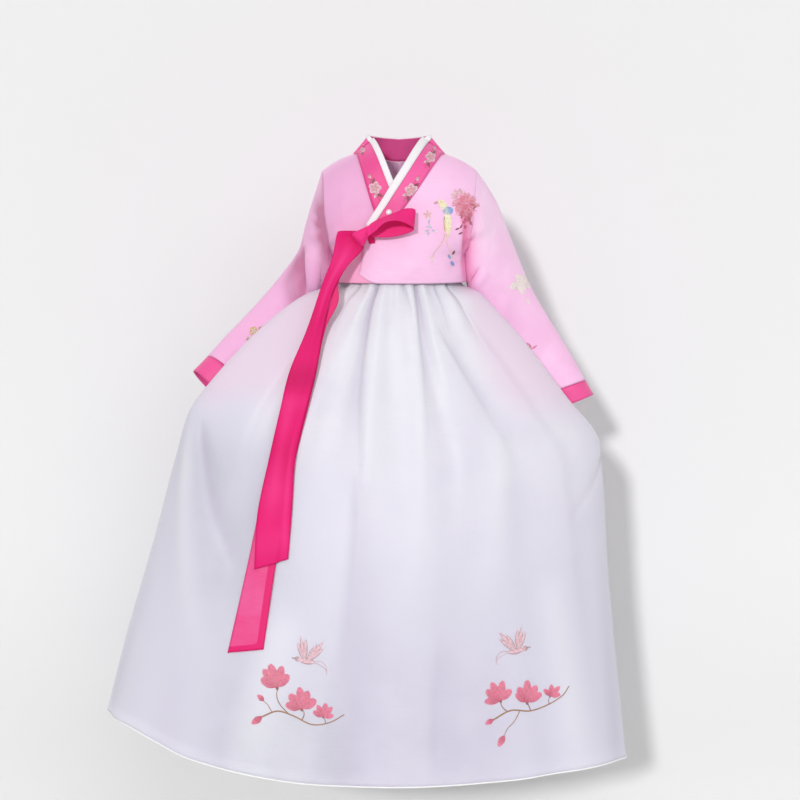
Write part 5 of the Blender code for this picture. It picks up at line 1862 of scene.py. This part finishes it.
# The branches on the skirt, by the wearer's own side: each twig's width and places; each
# blossom's place, degrees, size, petals and fan; its buds; and its bird's place and facing.
SKIRT_SPRIGS = {
    "right": ("""
        .0018 -.199 -.806 -.176 -.797 -.152 -.803 -.126 -.814 -.1 -.811 -.079 -.8
        .0012 -.16 -.8 -.172 -.788 -.177 -.776 -.176 -.764
        .0012 -.14 -.808 -.137 -.8 -.139 -.793
        .001 -.106 -.812 -.107 -.807 -.109 -.803
        .001 -.184 -.799 -.19 -.789 -.197 -.783
    """, """
        -.177 -.762 104 .034 5 2
        -.141 -.791  98 .032 5 2.5
        -.109 -.802  80 .02  5 2.8
    """, """
        -.196 -.783 140 .012 .008 .4 0 rose pink
        -.199 -.806 216 .018 .01  .4 0 rose pink
    """, (-0.134, -0.724), -1),
    "left": ("""
        .0018 .137 -.812 .163 -.8 .192 -.803 .218 -.797 .24 -.785 .25 -.772
        .0012 .158 -.802 .15 -.794 .147 -.785
        .0012 .192 -.803 .19 -.797 .187 -.79
        .001 .22 -.796 .219 -.79 .222 -.785
        .001 .176 -.802 .168 -.816 .158 -.826 .153 -.836
    """, """
        .147 -.784 112 .03  5 2.4
        .187 -.789  86 .03  5 2.2
        .222 -.784  66 .019 4 2.4
    """, """
        .137 -.812 205 .013 .008 .4 0 rose pink
        .153 -.836 240 .017 .01  .4 0 rose pink
    """, (0.171, -0.714), 1),
}

# The flowers on the chest: tufts by x, z, size and petals, and then petals by x, z, degrees,
# length, width, point, threads and tones. Petals everywhere are given in this way.
CHEST_TUFTS = """
    .088  -.057 .018 34 pale pink
    .0985 -.07  .026 90 blush pink
    .099  -.066 .018 50 pink soft
    .099  -.08  .014 34 soft rose
    .1    -.096 .011 18 rose pink
"""
CHEST_STEMS = """
    .106 -.068 -20 .007 .002 1 0 dark red
    .109 -.075  40 .007 .002 1 0 dark red
    .091 -.088  65 .007 .002 1 0 dark red
    .09  -.103  60 .007 .002 1 0 dark red
    .104 -.09  110 .007 .002 1 0 dark red
    .088 -.112  30 .007 .002 1 0 dark red
    .083 -.105  20 .007 .002 1 0 dark red
"""
CHEST_FLOWERS = """
    .04  -.101  20 .01  .0028 1  0 sky frost
    .048 -.102 160 .01  .0028 1  0 sky frost
    .044 -.105 205 .01  .0028 1  0 sky frost
    .048 -.105 -25 .01  .0028 1  0 sky frost
    .044 -.108 250 .01  .0028 1  0 sky frost
    .044 -.096  90 .01  .0028 1  0 sky frost
    .079 -.142  60 .007 .003  .6 0 dark branch
    .076 -.148 120 .008 .004  .6 0 blue sky
    .077 -.152 -60 .008 .005  .6 0 blue blue
    .049 -.15  110 .007 .004  .6 0 frost pale
"""
LEFT_SLEEVE_PETALS = """
    .1855 -.1865  0 .004 .004  0 0 pale cream
    .192  -.208 285 .012 .004  1 0 pale frost
    .199  -.289 100 .012 .0026 1 0 shell soft
    .2    -.286  35 .01  .0026 1 0 shell soft
    .197  -.28  150 .007 .0026 1 0 shell soft
    .189  -.279 130 .006 .0026 1 0 shell soft
"""
RIGHT_SLEEVE_PETALS = """
    -.213 -.256  20 .008 .003 1 0 brown pale
    -.225 -.268 220 .008 .003 1 0 ivory brown
"""
# The collar's sprays by x, z, degrees and size.
COLLAR_SPRAYS = """
    -.0352 -.044  -66 .037
     .018  -.047 -122 .038
     .0465  .001 -116 .032
    -.054   .012 -100 .016
"""


class MakeEmbroidery(bpy.types.Operator):
    """Makes the flowers, leaves and birds on the skirt, the chest, the sleeves and the collar"""

    bl_idname = "hanbok.embroidery"
    bl_label = "Embroidery"

    def execute(self, context):
        sizes, colours = chosen()
        tones = {**vars(colours), "snow": (1, 1, 1), "ink": (0, 0, 0), "dusk": (0.75, 0.45, 0.55)}
        for (share,), names in rows_of(MIXED_TONES):
            name, one, other = names.split()
            tones[name] = mixed(tones[one], tones[other], share)
        silk, tree = thread_material("silk thread"), thread_tree()
        needle = Needle(tones, np.random.default_rng(sizes.seed))
        for name, behind in self.motifs(needle):
            surfaces = [surface_of(*GRIDS[k]) for k in behind]
            lines, shades = laid_on(needle.threads, surfaces, sizes.thread * 0.7)
            sewn_with(tree, f"embroidery_{name}", lines, silk, shades, radius=sizes.thread)
            needle.threads = []
        return {"FINISHED"}

    def motifs(self, needle):
        """Embroiders one place after another: its name, and the faces that it lies on."""
        pick = needle.pick
        for side, (twigs, blossoms, buds, bird, facing) in SKIRT_SPRIGS.items():
            for (width, *places), _ in rows_of(twigs):
                needle.twig(np.reshape(places, (-1, 2)), width, pick("branch bark"))
            for (x, z, degrees, size, petals, fan), _ in rows_of(blossoms):
                tones = pick("rose pink bloom branch")
                needle.blossom((x, z), math.radians(degrees), size, tones, int(petals), fan)
            needle.petals(buds)
            needle.swallow(bird, SWALLOW_SIZE, facing)
            yield f"skirt_{side}", ["organza_skirt"]

        for (x, z, size, count), names in rows_of(CHEST_TUFTS):
            needle.tuft((x, z), size, pick(names), int(count))
        needle.petals(CHEST_STEMS)
        needle.songbird((0.0665, -0.079), SONGBIRD_SIZE)
        needle.round_flower((0.042, -0.083), 0.013, pick("pink pale frost"), 0.4, needle.tones["frost"])
        needle.petals(CHEST_FLOWERS)
        yield "chest", ["jacket_left", "left_sleeve"]

        for k, reach in enumerate((0.021, 0.017, 0.022, 0.018, 0.019)):
            angle = 0.95 + math.tau * k / 5
            needle.petal((0.1850, -0.1865), angle, reach, 0.0125, pick("ivory ivory"), point=1)
        needle.petals(LEFT_SLEEVE_PETALS)
        yield "left_sleeve", ["left_sleeve"]

        needle.round_flower((-0.2200, -0.2600), 0.014, pick("ivory gold brown"), rim=needle.tones["brown"])
        needle.petals(RIGHT_SLEEVE_PETALS)
        yield "right_sleeve", ["right_sleeve"]

        for (x, z, degrees, size), _ in rows_of(COLLAR_SPRAYS):
            needle.spray((x, z), math.radians(degrees), size, pick("pale plum rose cream"))
        yield "collar", ["collar"]


class MakeStitching(bpy.types.Operator):
    """Makes the running stitches along the edges and the rolled hems"""

    bl_idname = "hanbok.stitching"
    bl_label = "Stitching and hems"

    def execute(self, context):
        sizes, colours = chosen()
        pink = plain_thread("pink sewing thread", dimmed(colours.jacket, 0.94))
        hot = plain_thread("hot pink sewing thread", dimmed(colours.ribbon, 0.8))
        white = plain_thread("white hem", (1.0, 1.0, 1.0), 0.95)
        rows, rolls = stitch_tree(), thread_tree()
        for name, pieces, sides, inset, thread in (
                ("jacket", "jacket_left jacket_right", "first_row last_row", sizes.top_stitch, pink),
                ("collar", "collar", "first_column", 0.0022, hot),
                ("cuff", "left_cuff right_cuff", "first_row last_row", 0.0020, hot),
                ("ribbon", "front_end back_end", "first_column last_column last_row", 0.0018, hot)):
            lines = [edge_line(piece, side, inset, sizes.sewing_thread * 0.4)
                     for piece in pieces.split() for side in sides.split()]
            sewn_with(rows, f"{name}_stitching", lines, thread,
                      stitch=sizes.stitch, gap=sizes.gap, radius=sizes.sewing_thread)
        hem = edge_line("organza_skirt", "last_row", 0.0, -sizes.sheer / 2)
        sewn_with(rolls, "organza_hem", [hem], white, radius=sizes.hem_roll)
        return {"FINISHED"}


# The backdrop's floor and wall, the bend between them, and how far it reaches out and up.
FLOOR, WALL, BEND, WIDE, HIGH = -1.23, 0.28, 0.20, 6.0, 4.0
# Each light's name, its degrees from upright and round, its strength and how wide it shines.
LIGHTS = (("key", 73, -14, 1.40, 4.5), ("fill", 54, 22, 0.74, 60))
CAMERA_PLACE, CAMERA_AIM, LENS = (0.0015, -3.1825, -0.0305), (0.0015, 0, -0.365), 94.737


class MakeStage(bpy.types.Operator):
    """Sets the plain backdrop, the lights and the camera"""

    bl_idname = "hanbok.stage"
    bl_label = "Stage, lights and camera"

    def execute(self, context):
        _, colours = chosen()
        scene = context.scene
        scene.view_settings.view_transform = "Standard"
        scene.world = bpy.data.worlds.new("studio")
        scene.world.use_nodes = True
        tree = scene.world.node_tree
        fed(tree, tree.nodes["Background"], {"Color": (1.0, 1.0, 1.0, 1), "Strength": 0.35})
        start, foot = WALL - BEND, FLOOR + BEND
        bend = [(start + BEND * math.sin(k), foot - BEND * math.cos(k)) for k in np.linspace(0.2, 1.57, 8)]
        profile = [(-WIDE, FLOOR), (start, FLOOR), *bend]
        profile += [(WALL, z) for z in (foot + 0.03, foot + 0.06, HIGH)]
        grid = np.array([[(x, y, z) for x in (-WIDE, WIDE)] for y, z in profile])
        floor = put("backdrop", mesh_on("backdrop", grid, False), self.paper(colours.backdrop))
        floor.data.shade_smooth()
        floor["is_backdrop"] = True
        for name, slope, turn, energy, angle in LIGHTS:
            light = bpy.data.lights.new(name, "SUN")
            light.energy, light.angle = energy, math.radians(angle)
            put(name, light).rotation_euler = (math.radians(slope), 0, math.radians(turn))
        lens = bpy.data.cameras.new("camera")
        lens.lens, lens.sensor_width, lens.clip_start, lens.clip_end = LENS, 36.0, 0.05, 50
        scene.camera = put("camera", lens)
        scene.camera.location = CAMERA_PLACE
        ahead = mathutils.Vector(CAMERA_AIM) - mathutils.Vector(CAMERA_PLACE)
        scene.camera.rotation_euler = ahead.to_track_quat("-Z", "Y").to_euler()
        return {"FINISHED"}

    def paper(self, colour):
        """Matt paper that can be looked through from behind."""
        material, tree, shader, places = new_material("backdrop paper")
        base = blended(tree, noise(tree, places, 2.0), colour, dimmed(colour, 0.985))
        height = output(tree, "ShaderNodeSeparateXYZ", {0: places}, 2)
        # Painted shade: the paper darkens from partway down the wall to the floor.
        base = blended(tree, ranged(tree, height, -0.60, -0.98), base, dimmed(colour, 0.92))
        fed(tree, shader, {"Base Color": base, "Roughness": 0.95, "Specular IOR Level": 0.1})
        behind = output(tree, "ShaderNodeNewGeometry", None, "Backfacing")
        clear = output(tree, "ShaderNodeBsdfTransparent")
        either = output(tree, "ShaderNodeMixShader", {0: behind, 1: shader.outputs[0], 2: clear})
        fed(tree, tree.nodes["Material Output"], {"Surface": either})
        return material


class HanbokPanel(bpy.types.Panel):
    """Lists what the hanbok is made of"""

    bl_idname = "VIEW3D_PT_hanbok"
    bl_label = "Child's hanbok"
    bl_space_type = "VIEW_3D"
    bl_region_type = "UI"
    bl_category = "Hanbok"

    def draw(self, context):
        hanbok = context.scene.hanbok
        for group in (hanbok.sizes, hanbok.colours):
            column = self.layout.column(align=True)
            for name in group.__annotations__:
                column.prop(group, name)
        for maker in MAKERS:
            self.layout.operator(maker.bl_idname)


MAKERS = (MakeJacket, MakeSleeves, MakeCollar, MakeSkirt, MakeRibbons,
          MakeEmbroidery, MakeStitching, MakeStage)
CLASSES = (HanbokSizes, HanbokColours, Hanbok, *MAKERS, HanbokPanel)


def register():
    for kind in CLASSES:
        bpy.utils.register_class(kind)
    bpy.types.Scene.hanbok = PointerProperty(type=Hanbok)


def unregister():
    del bpy.types.Scene.hanbok
    for kind in reversed(CLASSES):
        bpy.utils.unregister_class(kind)


def main():
    register()
    for maker in MAKERS:
        group, name = maker.bl_idname.split(".")
        getattr(getattr(bpy.ops, group), name)()
    bpy.context.view_layer.update()
    boxes = {"cad": CAD_BOX, "scene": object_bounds()}
    {k: [list(low), list(high)] for k, (low, high) in boxes.items()}


if __name__ == "__main__":
    main()
